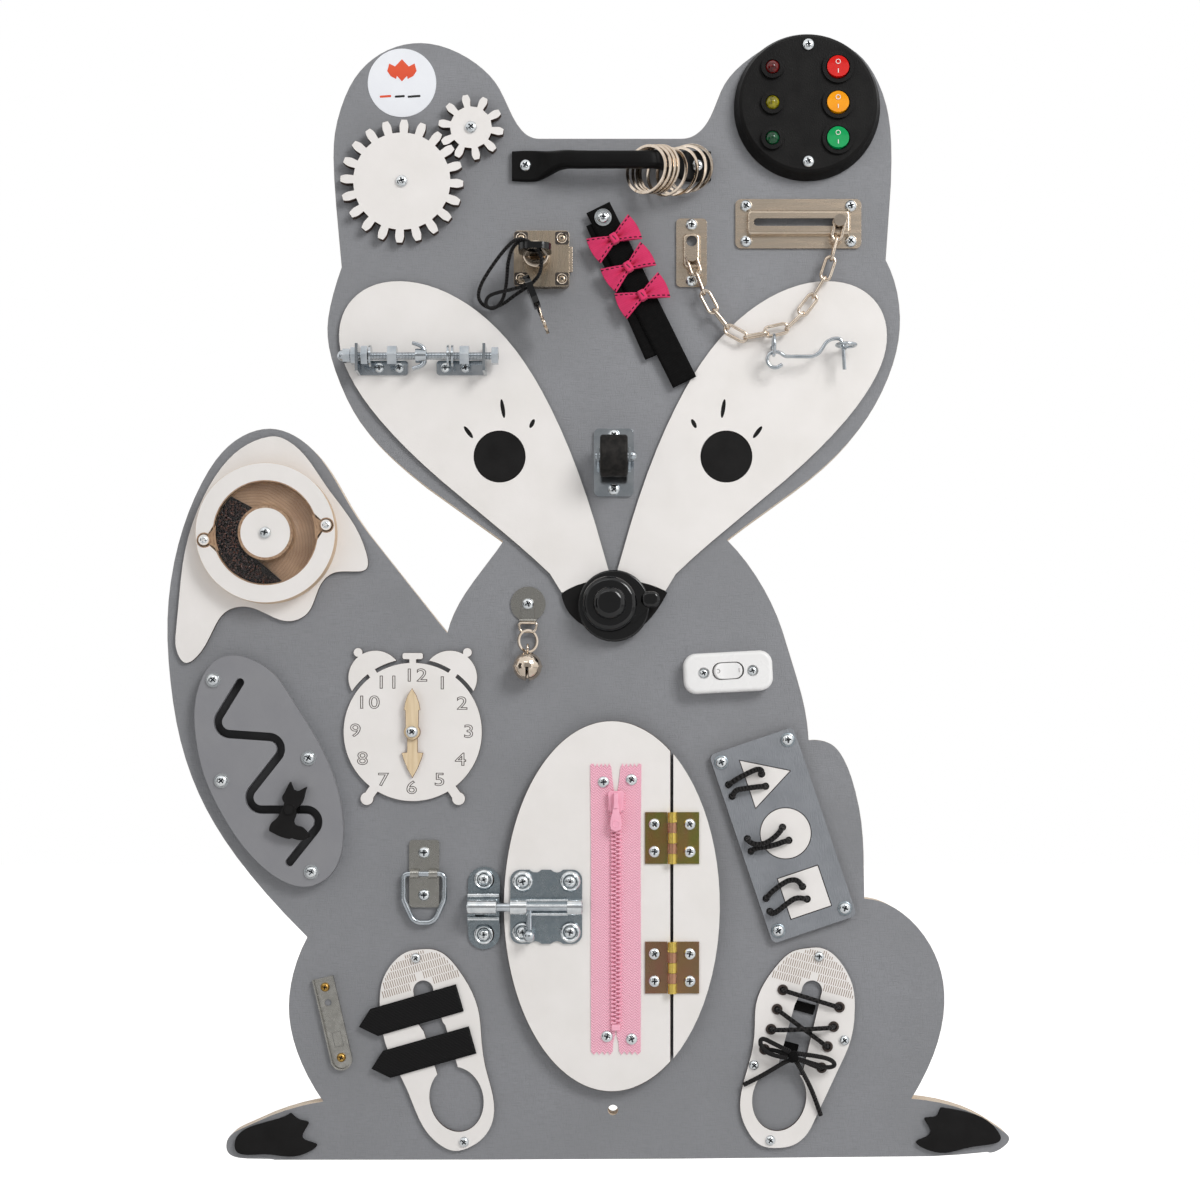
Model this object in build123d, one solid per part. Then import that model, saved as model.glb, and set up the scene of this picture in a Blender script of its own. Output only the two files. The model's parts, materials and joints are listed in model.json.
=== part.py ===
"""Wooden busy board: a plywood animal with everyday fittings a small child can work.

Everything is modelled with the board lying face up: X to the right, Y up the board, Z out of its
back face.  The origin is the wall screw's hole at the board's back.  On export each node is stood up,
so that +Z is up and the face looks along -Y.  Heights above the board's face are written as
"face + something".  All sizes are in millimetres.
"""
from build123d import *
import math
import os

# ------------------------------------------------------------------ driving dimensions
board_thickness = 18.0
face = board_thickness
wall_hole_radius = 3.5
overlay = 3.0                 # thin painted plywood laid on the board
eye_disc_radius = 17.75
kerf = 0.4                    # saw gap round what is let into an overlay
play = 0.3                    # air between a moving piece and what it moves over
running = 0.06                # radial clearance of a shaft in its bore

screw_shank = 1.9
screw_depth = 11.0
pan_head_radius = 4.15
pan_head_height = 2.4

gear_thickness = 6.0
gear_spacer = 1.2
large_teeth, small_teeth = 20, 10
large_tip, large_root = 42.9, 33.9
small_tip, small_root = 22.8, 14.6
gear_backlash = 0.9
axle_radius = 2.5

handle_spacing = 120.0
handle_pad_width, handle_pad_length, handle_pad_height = 17.0, 22.0, 4.0
handle_bar_width, handle_bar_depth, handle_clearance = 12.0, 8.0, 14.0
handle_bend = 28.0            # half of the bar's straight middle
ring_outer, ring_inner, ring_wire = 17.0, 15.0, 1.25
bar_rings_along = (24.2, 27.8, 30.6, 33.0)
bar_ring_drop, bar_ring_lean = 6.7, 36.0
leg_rings = [(38.6, 10.7, 6.4, 35.0), (45.8, 10.0, 5.8, 32.0), (51.2, 8.9, 4.1, 28.0),
             (54.6, 6.0, 2.4, 17.0)]    # along, height, drop and lean of each

lamp_box_radius, lamp_box_front, lamp_box_height, lamp_wall = 51.0, 47.0, 12.0, 2.5
lamp_opening_radius = 34.0
lamp_pitch = 24.6
lamp_column, rocker_column = -25.0, 20.5
lamp_bezel_radius, lamp_lens_radius = 7.9, 5.0
rocker_bezel_radius, rocker_radius, rocker_tilt = 11.0, 7.6, 7.0

lock_width, lock_case_height = 38.5, 7.5
lock_cylinder_radius, lock_cylinder_top, lock_plug_radius = 9.25, 20.0, 6.0
lock_bolt_width, lock_bolt_thickness = 17.5, 3.0
key_bow_width, key_bow_thickness, key_hole_radius = 22.4, 4.5, 5.2
key_cord_radius = 1.25

strap_width, strap_thickness, strap_length, strap_lean = 18.0, 1.2, 136.0, 26.4
strap_rest = face + overlay + 0.2       # the strap clears the cheek it hangs over
cup_washer_radius = 6.0
bow_span, bow_height, bow_depth = 39.0, 19.0, 7.0

chain_plate_thickness = 1.6
slot_plate_width, slot_plate_length = 34.5, 88.0
slot_rise, slot_width, slot_length = 6.0, 5.3, 63.0
link_length, link_width, link_wire = 19.0, 9.0, 2.2
chain_height = 8.6            # the middle of the links above the board's face
stud_neck, stud_head = 1.9, 4.2

eye_wire, hook_wire, hook_height, curl_radius = 1.15, 1.3, 15.0, 5.95

rod_radius, rod_height, rod_length = 2.5, 14.5, 103.0
bracket_thickness, bracket_width, bracket_length = 2.0, 10.0, 34.0
nut_width, nut_length = 12.5, 6.5
wing_span, wing_length = 20.0, 10.6

caster_width, caster_length, caster_plate = 28.0, 47.5, 2.0
wheel_radius, wheel_width, axle_height = 14.5, 19.0, 20.0

bell_base_radius, bell_base_height, bell_dome_radius, bell_dome_height = 25.0, 5.0, 19.0, 13.0
bell_lever_thickness, bell_lever_gap = 3.0, 4.0

seed_wheel_radius, seed_wheel_thickness = 48.5, 12.0
seed_trough_outer, seed_trough_inner, seed_trough_depth = 35.6, 19.0, 9.0
seed_window_thickness = 2.0
seed_ear_reach, seed_ear_angles = 42.6, (7.0, 187.0)
seed_depth = 5.0

maze_thickness, maze_lower_layer = 9.0, 4.0
groove_width, groove_foot_width = 5.8, 12.0
figure_thickness = 6.0
maze_outline = [(-252, 315), (-278, 313), (-290, 289), (-290, 259), (-285, 236), (-275, 213),
                (-261, 190), (-243, 170), (-228, 160), (-212, 157), (-196, 166), (-188, 190),
                (-189, 211), (-200, 247), (-226, 291)]
groove_route = [(-259.5, 299), (-281, 264), (-223, 260), (-262, 210.5), (-196, 210.5), (-225, 174)]

clock_radius, clock_plate = 48.4, 3.0
clock_bell_radius, clock_bell_gap = 19.0, 2.6
hand_thickness = 2.4

jingle_radius = 10.0
tie_plate_width, tie_plate_length, tie_plate_thickness = 21.0, 47.0, 2.0
tie_ring_wire = 1.95

switch_length, switch_width, switch_height = 62.0, 28.0, 12.0
switch_rocker_length, switch_rocker_width = 20.0, 11.0

lacing_width, lacing_length, lacing_thickness, lacing_turn = 62.0, 139.0, 5.0, 18.7
lacing_hole_radius, lacing_cord_radius = 2.5, 1.5
lacing_circle_radius, lacing_square = 17.6, 29.5
lacing_triangle = [(88.4, 244.6), (123.5, 237.5), (99.5, 211.5)]
panel_holes = [(80.5, 227.8), (83.1, 219.7), (93.7, 190.1), (96.3, 181.4), (106.8, 148.5), (109.4, 139.5)]
shape_holes = [(103.6, 235.3), (106.4, 226.7), (118.2, 198.1), (122.6, 189.0), (132.2, 156.7),
               (135.4, 148.0)]

shoe_strap_width, shoe_strap_thickness = 19.6, 1.6
shoe_screws = [(-137.7, 106.6), (-104.1, -21.7), (143.9, 107.7), (161.5, 49.3), (98.5, 31.9), (109.9, -20.5)]
eyelet_places = [(118.6, 84.5), (114.6, 71.0), (110.4, 57.0), (105.8, 43.0),
                 (158.1, 72.4), (154.0, 58.8), (149.8, 44.9), (145.7, 30.1)]
lace_radius, eyelet_radius, eyelet_height = 1.6, 3.75, 0.8

door_half_width, door_half_height, door_thickness = 75.3, 129.0, 8.0
door_gap = 1.75
hinge_length, hinge_leaf_width, hinge_leaf = 36.0, 17.6, 1.2
hinge_knuckle = 3.2
zip_width, zip_length, zip_tape = 35.5, 203.0, 0.8
zip_teeth_width, zip_teeth_length, zip_teeth_height = 6.7, 160.7, 2.2
bolt_rod_radius, bolt_plate_thickness = 3.25, 1.6
keeper_play, keeper_wall = 0.9, 1.0     # the rod enters the keeper's housing with room to spare
channel_width, channel_length, channel_height, channel_wall = 15.0, 66.0, 3.5, 1.0

# ------------------------------------------------------------------ where each fitting sits (x, y)
large_gear_at = (-147.1, 648.2)
small_gear_at = (-98.9, 685.7)
handle_at = (-1.1, 660.0)
lamp_box_at = (135.6, 701.0)
lock_at = (-49.8, 594.2)
key_at = (-53.3, 594.5)
spare_key_at = (-57.9, 572.3)   # where the cord goes through it
strap_at = (-9.6, 628.5)
keep_plate_at = (54.9, 599.7)
slot_plate_at = (129.6, 620.0)
left_eye_at = (111.4, 532.4)
right_eye_at = (161.5, 532.5)
rod_at = (-186.0, 525.0)
caster_at = (0.6, 453.0)
eye_disc_at = (-79.2, 457.0)
bell_at = (0.5, 352.5)
seed_wheel_at = (-240.8, 402.5)
figure_at = (-224.4, 210.5)
clock_at = (-139.9, 264.6)
jingle_at = (-59.4, 354.0)
tie_ring_at = (-132.0, 165.5)
switch_at = (80.0, 306.2)
lacing_at = (118.6, 192.5)
door_at = (-0.9, 143.3)
hinge_line = 41.1
zip_at = (2.0, 141.5)
channel_at = (-196.3, 64.2)

overlay_top = face + overlay
door_top = face + play + door_thickness
LOW = (Align.CENTER, Align.CENTER, Align.MIN)
nodes = {}
board_screws = []
door_screws = []


# ------------------------------------------------------------------ small helpers
def disc(x, y, z, radius, height):
    """An upright cylinder that stands on height z."""
    return Pos(x, y, z) * Cylinder(radius, height, align=LOW)


def slab(x, y, z, width, length, height, corner=0.0):
    """A block that stands on height z, with rounded corners where they are asked for."""
    if corner:
        return Pos(x, y, z) * extrude(RectangleRounded(width, length, corner), height)
    return Pos(x, y, z) * Box(width, length, height, align=LOW)


def sheet(outline, z, thickness):
    """A flat piece sawn to an outline, lying on height z."""
    return Pos(0, 0, z) * extrude(outline, thickness, dir=(0, 0, 1))


def loop(points):
    """The inside of one smooth closed curve."""
    return make_face(Spline(*points, periodic=True))


def joined(stretches):
    """The inside of several curves that meet at corners; two points make a straight line."""
    edges = [Line(*stretch) if len(stretch) == 2 else Spline(*stretch) for stretch in stretches]
    return make_face(edges)


def bar(start, end, radius):
    """A round bar from one point to another."""
    start, end = Vector(*start), Vector(*end)
    length = (end - start).length
    return Plane(origin=start, z_dir=end - start) * Cylinder(radius, length, align=LOW)


def bends(points):
    """The largest easy bend at each corner of a route: 0.45 of its shorter run."""
    radii = []
    for before, here, after in zip(points, points[1:], points[2:]):
        run_in = Vector(*here) - Vector(*before)
        run_out = Vector(*after) - Vector(*here)
        half_turn = math.radians(run_in.get_angle(run_out)) / 2
        radii.append(0.45 * min(run_in.length, run_out.length) / math.tan(half_turn))
    return radii


def tube(points, radius):
    """A round cord or wire along straight runs joined by tangent arcs."""
    path = FilletPolyline(*points, radius=bends(points))
    return sweep(Plane(origin=path @ 0, z_dir=path % 0) * Circle(radius), path=path)


def cord(name, points, radius):
    """A tube that reports its tightest bend and its length."""
    solid = tube(points, radius)
    length = solid.volume / (math.pi * radius ** 2)
    print(f"{name}: length {length:.0f} mm, tightest bend {min(bends(points)):.1f} mm")
    return solid


def ring(centre, axis, mean_radius, wire):
    """A closed round ring about an axis."""
    return Plane(origin=centre, z_dir=axis) * Torus(mean_radius, wire)


def pan_screw(x, y, z, grip=0.0, head=pan_head_radius):
    """A pan-head wood screw whose head sits on height z, over a grip thickness of fittings."""
    cap = fillet(Cylinder(head, pan_head_height, align=LOW).edges().sort_by(Axis.Z)[-1], 1.5)
    length = grip + screw_depth
    return Pos(x, y, z) * (cap + Pos(0, 0, -length) * Cylinder(screw_shank, length, align=LOW))


def screw_hole(x, y, z, height, radius=screw_shank + 0.3):
    """The clearance hole for a screw through something between z and z + height."""
    return disc(x, y, z - 1, radius, height + 2)


def hex_nut(x, y, z, across, length):
    """A hexagon nut on a thread along X, its left face at x."""
    prism = extrude(RegularPolygon(across / 2, 6, major_radius=False), length)
    return Pos(x, y, z) * Rot(0, 90, 0) * prism


def keep(node, *shapes):
    nodes[node] = [solid for shape in shapes for solid in shape.solids()]


def around(centre, offsets):
    """Places given by their offsets from a fitting's centre."""
    return [(centre[0] + dx, centre[1] + dy) for dx, dy in offsets]


def between(start, end, share):
    """A place some share of the way from one place to another."""
    return start[0] + share * (end[0] - start[0]), start[1] + share * (end[1] - start[1])


def turned(centre, angle, offset):
    """One place, given by its offset on a fitting that is turned about its centre."""
    turn = math.radians(angle)
    dx, dy = offset
    x = centre[0] + dx * math.cos(turn) - dy * math.sin(turn)
    return x, centre[1] + dx * math.sin(turn) + dy * math.cos(turn)


# ------------------------------------------------------------------ board and painted overlays
def board():
    head_top = [
        [(-190, 590), (-193, 623), (-195.5, 658), (-195, 682), (-190, 703), (-179, 725), (-160, 741),
         (-133, 747), (-111, 741.5), (-95, 732), (-82, 719), (-67, 690), (-60, 682.5), (-51, 680)],
        [(-51, 680), (48, 680)],
        [(48, 680), (58, 683), (65, 690), (78, 718), (98, 738), (117, 748.5), (135, 752),
         (155, 748.5), (172, 739), (185, 721), (192, 701), (195, 672), (194, 637), (191, 595)],
    ]
    right_side = [
        [(191, 595), (200, 567), (200, 539), (192, 511), (177, 483), (153, 455), (118, 427), (80, 399)],
        [(80, 399), (102, 371), (116, 343), (125, 315), (133, 287), (137, 259)],
        [(137, 259), (144, 259), (153, 256), (162, 245), (169, 226), (173, 208), (175.5, 180), (176, 148)],
        [(176, 148), (184, 147), (201, 139), (220, 119), (231, 91), (231, 63), (223, 35), (209, 8)],
    ]
    feet = [
        [(209, 8), (225, 6), (254, -3), (272, -14), (277.5, -20), (274.5, -25), (262, -29.5)],
        [(262, -29.5), (236, -31.8), (187, -33)],
        [(187, -33), (0, -34.5), (-237, -35)],
        [(-237, -35), (-258, -34), (-270, -29), (-270, -21), (-258, -12), (-240, -4), (-222, 2), (-203, 6)],
    ]
    left_side = [
        [(-203, 6), (-219, 35), (-227, 70), (-225, 91), (-214, 121)],
        [(-214, 121), (-262, 175), (-288, 217), (-303, 259), (-310, 301), (-312, 343), (-307, 385),
         (-288, 439), (-264, 469), (-239, 477), (-213, 465), (-183, 421), (-149, 376), (-116, 334)],
        [(-116, 334), (-107, 356), (-97, 371), (-77, 398)],
        [(-77, 398), (-118, 427), (-153, 455), (-178, 483), (-192, 511), (-200, 546), (-197, 567),
         (-190, 590)],
    ]
    outline = joined(head_top + right_side + feet + left_side)
    outline -= Circle(wall_hole_radius)
    outline -= Pos(*lamp_box_at) * Circle(lamp_opening_radius)
    keep("board", sheet(outline, 0, board_thickness))


def nose_outline():
    top = [(-36, 361), (-27, 366), (-17, 369), (0, 370), (18, 369), (29, 366), (38, 362)]
    chin = [(38, 362), (27, 345), (13, 334), (-1, 332), (-15, 336), (-30, 347), (-36, 361)]
    return joined([top, chin])


def cheek_outline():
    outer = [(-44, 375), (-85, 411), (-130, 449), (-158, 477), (-181, 508), (-191, 535), (-187, 560),
             (-173, 574), (-147, 579.5), (-111, 569), (-76, 541), (-44, 492), (-19, 431), (-2, 374)]
    return joined([outer, [(-2, 374), (-2, 362)], [(-2, 362), (-36, 362)], [(-36, 362), (-44, 375)]])


def lash(start, end):
    """A tapered slit beside the eye."""
    middle = ((start[0] + end[0]) / 2, (start[1] + end[1]) / 2)
    length = math.dist(start, end)
    angle = math.degrees(math.atan2(end[1] - start[1], end[0] - start[0]))
    return Pos(*middle) * Rot(0, 0, angle) * Ellipse(length / 2, 1.4)


def shoe_outlines():
    left = loop([(-131, 113), (-119, 110), (-109, 100), (-99, 84), (-94, 70), (-92, 51), (-89, 30),
                 (-83, 3), (-84, -7), (-89, -17), (-99, -25), (-111, -28), (-122, -23), (-130, -15),
                 (-144, 15), (-158, 44), (-163, 75), (-161, 91), (-155, 102), (-144, 111)])
    left -= make_face(Polyline((-139.5, 84), (-125.5, 84), (-119, 62), (-117.1, 59.6), (-106.8, 25),
                               (-121.5, 22), (-132.3, 55.5), (-137, 62), close=True))
    left -= Pos(-132.5, 84) * Circle(7) + Pos(-109.3, 8) * Rot(0, 0, 13) * Ellipse(18.7, 22.9)
    right = loop([(139, 114), (150, 112), (161, 101), (168, 85), (169, 71), (166, 49), (158, 30),
                  (142, -4), (135, -17), (126, -24), (116, -26), (103, -24), (94, -14), (89, 0),
                  (90, 15), (97, 41), (99, 58), (100, 75), (105, 88), (114, 101), (125, 111)])
    right -= make_face(Polyline((132, 84), (146, 84), (143.8, 74.1), (132, 25), (113.5, 25), (127, 74),
                                close=True))
    right -= Pos(139, 84) * Circle(7) + Pos(116.1, 8.6) * Rot(0, 0, -12) * Ellipse(18.7, 22.9)
    return left, right


def shoes():
    """Both shoes, their screws and the lace shoe's eyelets."""
    left, right = [sheet(outline, face, overlay) for outline in shoe_outlines()]
    for spot in eyelet_places:
        hole = disc(*spot, face - 1, lace_radius + 0.75, overlay + 9)
        right -= hole
        board_screws.append(disc(*spot, overlay_top, eyelet_radius, eyelet_height) - hole)
    for spot in shoe_screws:
        left -= screw_hole(*spot, face, overlay)
        right -= screw_hole(*spot, face, overlay)
        board_screws.append(pan_screw(*spot, overlay_top, overlay, head=3.6))
    return left, right


def white_overlays():
    cheek = cheek_outline() - Pos(*eye_disc_at) * Circle(eye_disc_radius + kerf)
    for start, end in [((-78, 497), (-76, 484)), ((-104, 478), (-98, 470)), ((-55, 483), (-58, 477))]:
        cheek -= lash(start, end)
    cheek = sheet(cheek, face, overlay)
    nose_cut = Pos(0, kerf, 0) * sheet(nose_outline(), face - 1, overlay + 2)
    cheeks = [half - nose_cut for half in (cheek, mirror(cheek, Plane.YZ))]
    tail = loop([(-240, 471), (-258, 464), (-284, 433), (-300, 386), (-305, 338), (-304, 319),
                 (-299, 313), (-290, 318), (-268, 350), (-256, 352), (-225, 342), (-214, 347),
                 (-205, 366), (-194, 376), (-172, 379), (-173, 392), (-200, 436), (-224, 466)])
    strip = Pos(*door_at) * Ellipse(door_half_width, door_half_height)
    strip &= Pos(hinge_line + door_gap / 2 + 50, door_at[1]) * Rectangle(100, 300)
    keep("white_overlays", *cheeks, sheet(tail, face, overlay), sheet(strip, face, door_thickness + play),
         *shoes())


def black_overlays():
    left_claws = loop([(-226, -2), (-246, -9), (-264, -21), (-264, -27), (-244, -30.5), (-214, -29.5),
                       (-207, -24), (-217, -19), (-213, -8.5), (-221, -5.5)])
    right_claws = loop([(230, 2), (247, -1), (268, -13), (271, -19), (253, -25), (220, -27.5),
                        (212, -22), (222, -15.5), (218, -5.5), (227, -3)])
    eye = Pos(*eye_disc_at) * Circle(eye_disc_radius)
    keep("black_overlays", sheet(left_claws, face, overlay), sheet(right_claws, face, overlay),
         sheet(nose_outline(), face, overlay), sheet(eye, face, overlay),
         mirror(sheet(eye, face, overlay), Plane.YZ))


# ------------------------------------------------------------------ gears
def involute(radius, base):
    """How far the tooth flank has unwound, as an angle, where it reaches a radius."""
    pressure = math.acos(min(1.0, base / radius))
    return math.tan(pressure) - pressure


def gear_outline(teeth, tip, root, pitch, first_tooth):
    base = pitch * math.cos(math.radians(20))
    half_tooth = math.pi / 2 / teeth - gear_backlash / 2 / pitch + involute(pitch, base)
    flank_radii = [base + (tip - base) * step / 3 for step in range(4)]
    flank = [(root, half_tooth)] + [(r, half_tooth - involute(r, base)) for r in flank_radii]
    corners = []
    for tooth in range(teeth):
        middle = math.radians(first_tooth) + tooth * 2 * math.pi / teeth
        rising = [(r, middle - half) for r, half in flank]
        falling = [(r, middle + half) for r, half in reversed(flank)]
        corners += [(r * math.cos(a), r * math.sin(a)) for r, a in rising + falling]
    return make_face(Polyline(*corners, close=True))


def gears():
    distance = math.dist(large_gear_at, small_gear_at)
    large_pitch = distance * large_teeth / (large_teeth + small_teeth)
    centre_line = math.degrees(math.atan2(small_gear_at[1] - large_gear_at[1],
                                          small_gear_at[0] - large_gear_at[0]))
    large_tooth = 87.7 - 3 * 360 / large_teeth
    lag = (centre_line - large_tooth) * large_teeth / small_teeth
    small_tooth = centre_line + 180 + lag + 180 / small_teeth
    low = face + gear_spacer
    for node, place, outline in [
        ("large_gear", large_gear_at,
         gear_outline(large_teeth, large_tip, large_root, large_pitch, large_tooth)),
        ("small_gear", small_gear_at,
         gear_outline(small_teeth, small_tip, small_root, distance - large_pitch, small_tooth)),
    ]:
        wheel = sheet(outline, low, gear_thickness)
        keep(node, Pos(*place) * (wheel - disc(0, 0, low - 1, axle_radius + running, gear_thickness + 2)))
        board_screws.append(disc(*place, face, 6.0, gear_spacer - play))
        board_screws.append(axle_screw(*place, low + gear_thickness + play))


def axle_screw(x, y, z, radius=axle_radius):
    """A pan-head screw whose plain shank is the axle of what turns below its head."""
    head = fillet(Cylinder(pan_head_radius, pan_head_height, align=LOW).edges().sort_by(Axis.Z)[-1], 1.5)
    depth = z - face + screw_depth
    return Pos(x, y, z) * (head + Pos(0, 0, -depth) * Cylinder(radius, depth, align=LOW))


# ------------------------------------------------------------------ pull handle and split rings
def pull_handle():
    half, pad = handle_spacing / 2, handle_pad_width / 2
    top = handle_clearance + handle_bar_depth
    upper = [(half + pad, 0), (half + pad, handle_pad_height), (half - pad, handle_pad_height),
             (handle_bend, top)]
    lower = [(half - pad - 2.5, 0), (handle_bend + 2, handle_clearance)]
    side = upper + [(-x, z) for x, z in reversed(upper)] + [(-x, z) for x, z in lower] + lower[::-1]
    side = make_face(Polyline(*side, close=True))
    flare = extrude(Plane.XZ * side, handle_pad_length / 2, both=True)
    side = fillet(side.vertices().filter_by(lambda vertex: vertex.Y > handle_pad_height + 1), 8.0)
    handle = extrude(Plane.XZ * side, handle_bar_width / 2, both=True)
    rims = handle.faces().filter_by(Axis.Y).edges().filter_by(
        lambda edge: edge.center().Z > 0.1 and abs(edge.center().X) < half)
    handle = fillet(rims, 2.0)
    for end in (-1, 1):
        taper = [(half + pad, 1), (half - pad, 1), (half - pad - 14, 0.45)]
        corners = [(end * x, width * handle_pad_length / 2) for x, width in taper]
        corners += [(x, -y) for x, y in reversed(corners)]
        handle += flare & sheet(make_face(Polyline(*corners, close=True)), 0, handle_clearance - 2)
    handle = Pos(*handle_at, face) * handle
    for x in (-half, half):
        place = (handle_at[0] + x, handle_at[1])
        handle -= screw_hole(*place, face, handle_pad_height)
        board_screws.append(pan_screw(*place, face + handle_pad_height, handle_pad_height))
    keep("pull_handle", handle)


def split_ring(along, height, drop, lean):
    """A ring that hangs round the handle, its near side leaning towards +X."""
    hoop = Cylinder(ring_outer, ring_wire) - Cylinder(ring_inner, ring_wire * 2)
    return Pos(handle_at[0] + along, handle_at[1] - drop, face + height) * Rot(0, -lean, 0) * hoop


def split_rings():
    """Four rings on the bar, four that have slid down its right leg."""
    bar_middle = handle_clearance + handle_bar_depth / 2
    keep("bar_rings", *[split_ring(along, bar_middle, bar_ring_drop, bar_ring_lean)
                        for along in bar_rings_along])
    keep("leg_rings", *[split_ring(*ring_place) for ring_place in leg_rings])


# ------------------------------------------------------------------ light box
def light_box():
    outside = Polyline((0, 0), (lamp_box_radius, 0), (lamp_box_radius, 3), (lamp_box_front + 1, 10.5),
                       (lamp_box_front - 1, lamp_box_height), (0, lamp_box_height), close=True)
    shell = revolve(Plane.XZ * make_face(outside), Axis.Z)
    shell -= Cylinder(lamp_box_front - lamp_wall - 2, lamp_box_height - lamp_wall, align=LOW)
    screw_rows = [(0, 40.5), (0, -40.5)]
    for x, y in screw_rows:
        shell += disc(x, y, 0, 4.5, lamp_box_height - 0.5)
        shell -= screw_hole(x, y, 0, lamp_box_height)
        board_screws.append(Pos(*lamp_box_at) * pan_screw(x, y, face + lamp_box_height, lamp_box_height))
    bezels, lenses = [], []
    for row in (lamp_pitch, 0, -lamp_pitch):
        shell -= disc(lamp_column, row, 0, lamp_lens_radius + 1, lamp_box_height + 1)
        shell -= disc(rocker_column, row, 0, 9.8, lamp_box_height + 1)
        bezel = disc(lamp_column, row, lamp_box_height, lamp_bezel_radius, 2.2)
        bezel += disc(lamp_column, row, 4, lamp_lens_radius + 0.9, lamp_box_height - 4)
        bezels.append(bezel - disc(lamp_column, row, 0, lamp_lens_radius, 30))
        lens = disc(lamp_column, row, 5, lamp_lens_radius, lamp_box_height)
        lenses.append(fillet(lens.edges().sort_by(Axis.Z)[-1], 3.0))
        collar = disc(rocker_column, row, lamp_box_height, rocker_bezel_radius, 1.8)
        collar += disc(rocker_column, row, 2, 9.7, lamp_box_height - 2)
        bezels.append(collar - disc(rocker_column, row, 3.5, rocker_radius + 0.7, 30))
    place = Pos(*lamp_box_at, face)
    keep("light_box", place * shell, *[place * piece for piece in bezels])
    keep("lamp_lenses", *[place * lens for lens in lenses])


def lamp_rockers():
    for name, row in (("red", lamp_pitch), ("amber", 0.0), ("green", -lamp_pitch)):
        paddle = Cylinder(rocker_radius, 6.5)
        hollow = Pos(0, 0, 3.25 + 28) * Rot(0, 90, 0) * Cylinder(29, 30)
        paddle -= hollow
        place = Pos(lamp_box_at[0] + rocker_column, lamp_box_at[1] + row, face + lamp_box_height - 0.6)
        keep("rocker_" + name, place * Rot(-rocker_tilt, 0, 0) * paddle)


def battery_pack():
    """The cell holder in the opening behind the light box, and the cover that closes it."""
    cover_thickness, cell_radius, cell_length = 2.5, 5.2, 44.5
    cover = disc(0, 0, 0, lamp_opening_radius - 0.3, cover_thickness)
    tray = slab(0, 0, cover_thickness, 50, 38, 9)
    tray -= slab(0, 0, cover_thickness + 1.5, cell_length + 1, 34, 9)
    cells = [Pos(0, row * 11, cover_thickness + 1.5 + cell_radius) * Rot(0, 90, 0)
             * Cylinder(cell_radius, cell_length) for row in (-1, 0, 1)]
    keep("battery_pack", *[Pos(*lamp_box_at) * piece for piece in [cover, tray] + cells])


# ------------------------------------------------------------------ drawer lock, keys and their cord
def drawer_lock():
    x, y = lock_at
    case = slab(x, y, face, lock_width, lock_width + 0.5, lock_case_height, 3)
    corner = lock_width / 2 - 5.2
    corners = [(-corner, corner), (corner, corner), (corner, -corner), (-corner, -corner)]
    for place in around(lock_at, corners):
        case -= disc(*place, face + 3, 4.4, 20)
        case -= screw_hole(*place, face, 3)
        board_screws.append(pan_screw(*place, face + 3, 3, head=3.6))
    case += disc(*key_at, face + lock_case_height - 1, lock_cylinder_radius,
                 lock_cylinder_top - lock_case_height + 1)
    cavity_low = face + 1.2
    right = x + lock_width / 2
    cavity_left = x - 1.5
    case -= slab((cavity_left + right + 1) / 2, key_at[1], cavity_low, right + 1 - cavity_left,
                 lock_bolt_width + 2 * play, lock_bolt_thickness + 2 * play)
    plug_low = cavity_low + lock_bolt_thickness + 2 * play + 0.3
    case -= disc(*key_at, plug_low - 0.3, lock_plug_radius + running, 30)
    keep("lock_case", case)

    bolt_left, bolt_right = cavity_left + 0.5, right + 2.4
    keep("lock_bolt", slab((bolt_left + bolt_right) / 2, key_at[1], cavity_low + play,
                           bolt_right - bolt_left, lock_bolt_width, lock_bolt_thickness))

    plug = disc(*key_at, plug_low, lock_plug_radius, face + lock_cylinder_top + 0.4 - plug_low)
    plug -= slab(*key_at, plug_low + 2, 8.4, 2.4, 40)
    key = Pos(*key_at, face + lock_cylinder_top + 13.5) * key_shape()
    keep("lock_key", plug, key - slab(*key_at, 0, 20, 20, plug_low + 2.2))


def key_shape():
    """A flat key about the middle of its bow, blade towards -Z and its width along X."""
    bow = Plane.XZ * (RectangleRounded(key_bow_width, 23, 8) - Pos(0, 4.5) * Circle(key_hole_radius))
    blade = Plane.XZ * make_face(Polyline(
        (-4, -10), (4, -10), (4, -19), (2.6, -20.5), (4, -22), (4, -24.5), (2.4, -26), (3.6, -28),
        (0, -31), (-4, -28), close=True))
    return extrude(bow, key_bow_thickness / 2, both=True) + extrude(blade, 1.0, both=True)


def spare_key():
    """The second key hangs edge-on from the cord, in front of the lock's case."""
    lean = 21.8
    place = Pos(*spare_key_at, face + 19.8) * Rot(0, 0, lean) * Rot(-90, 0, 0) * Rot(0, 0, -90)
    keep("spare_key", place * Pos(0, 0, -4.5) * key_shape())


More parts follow.
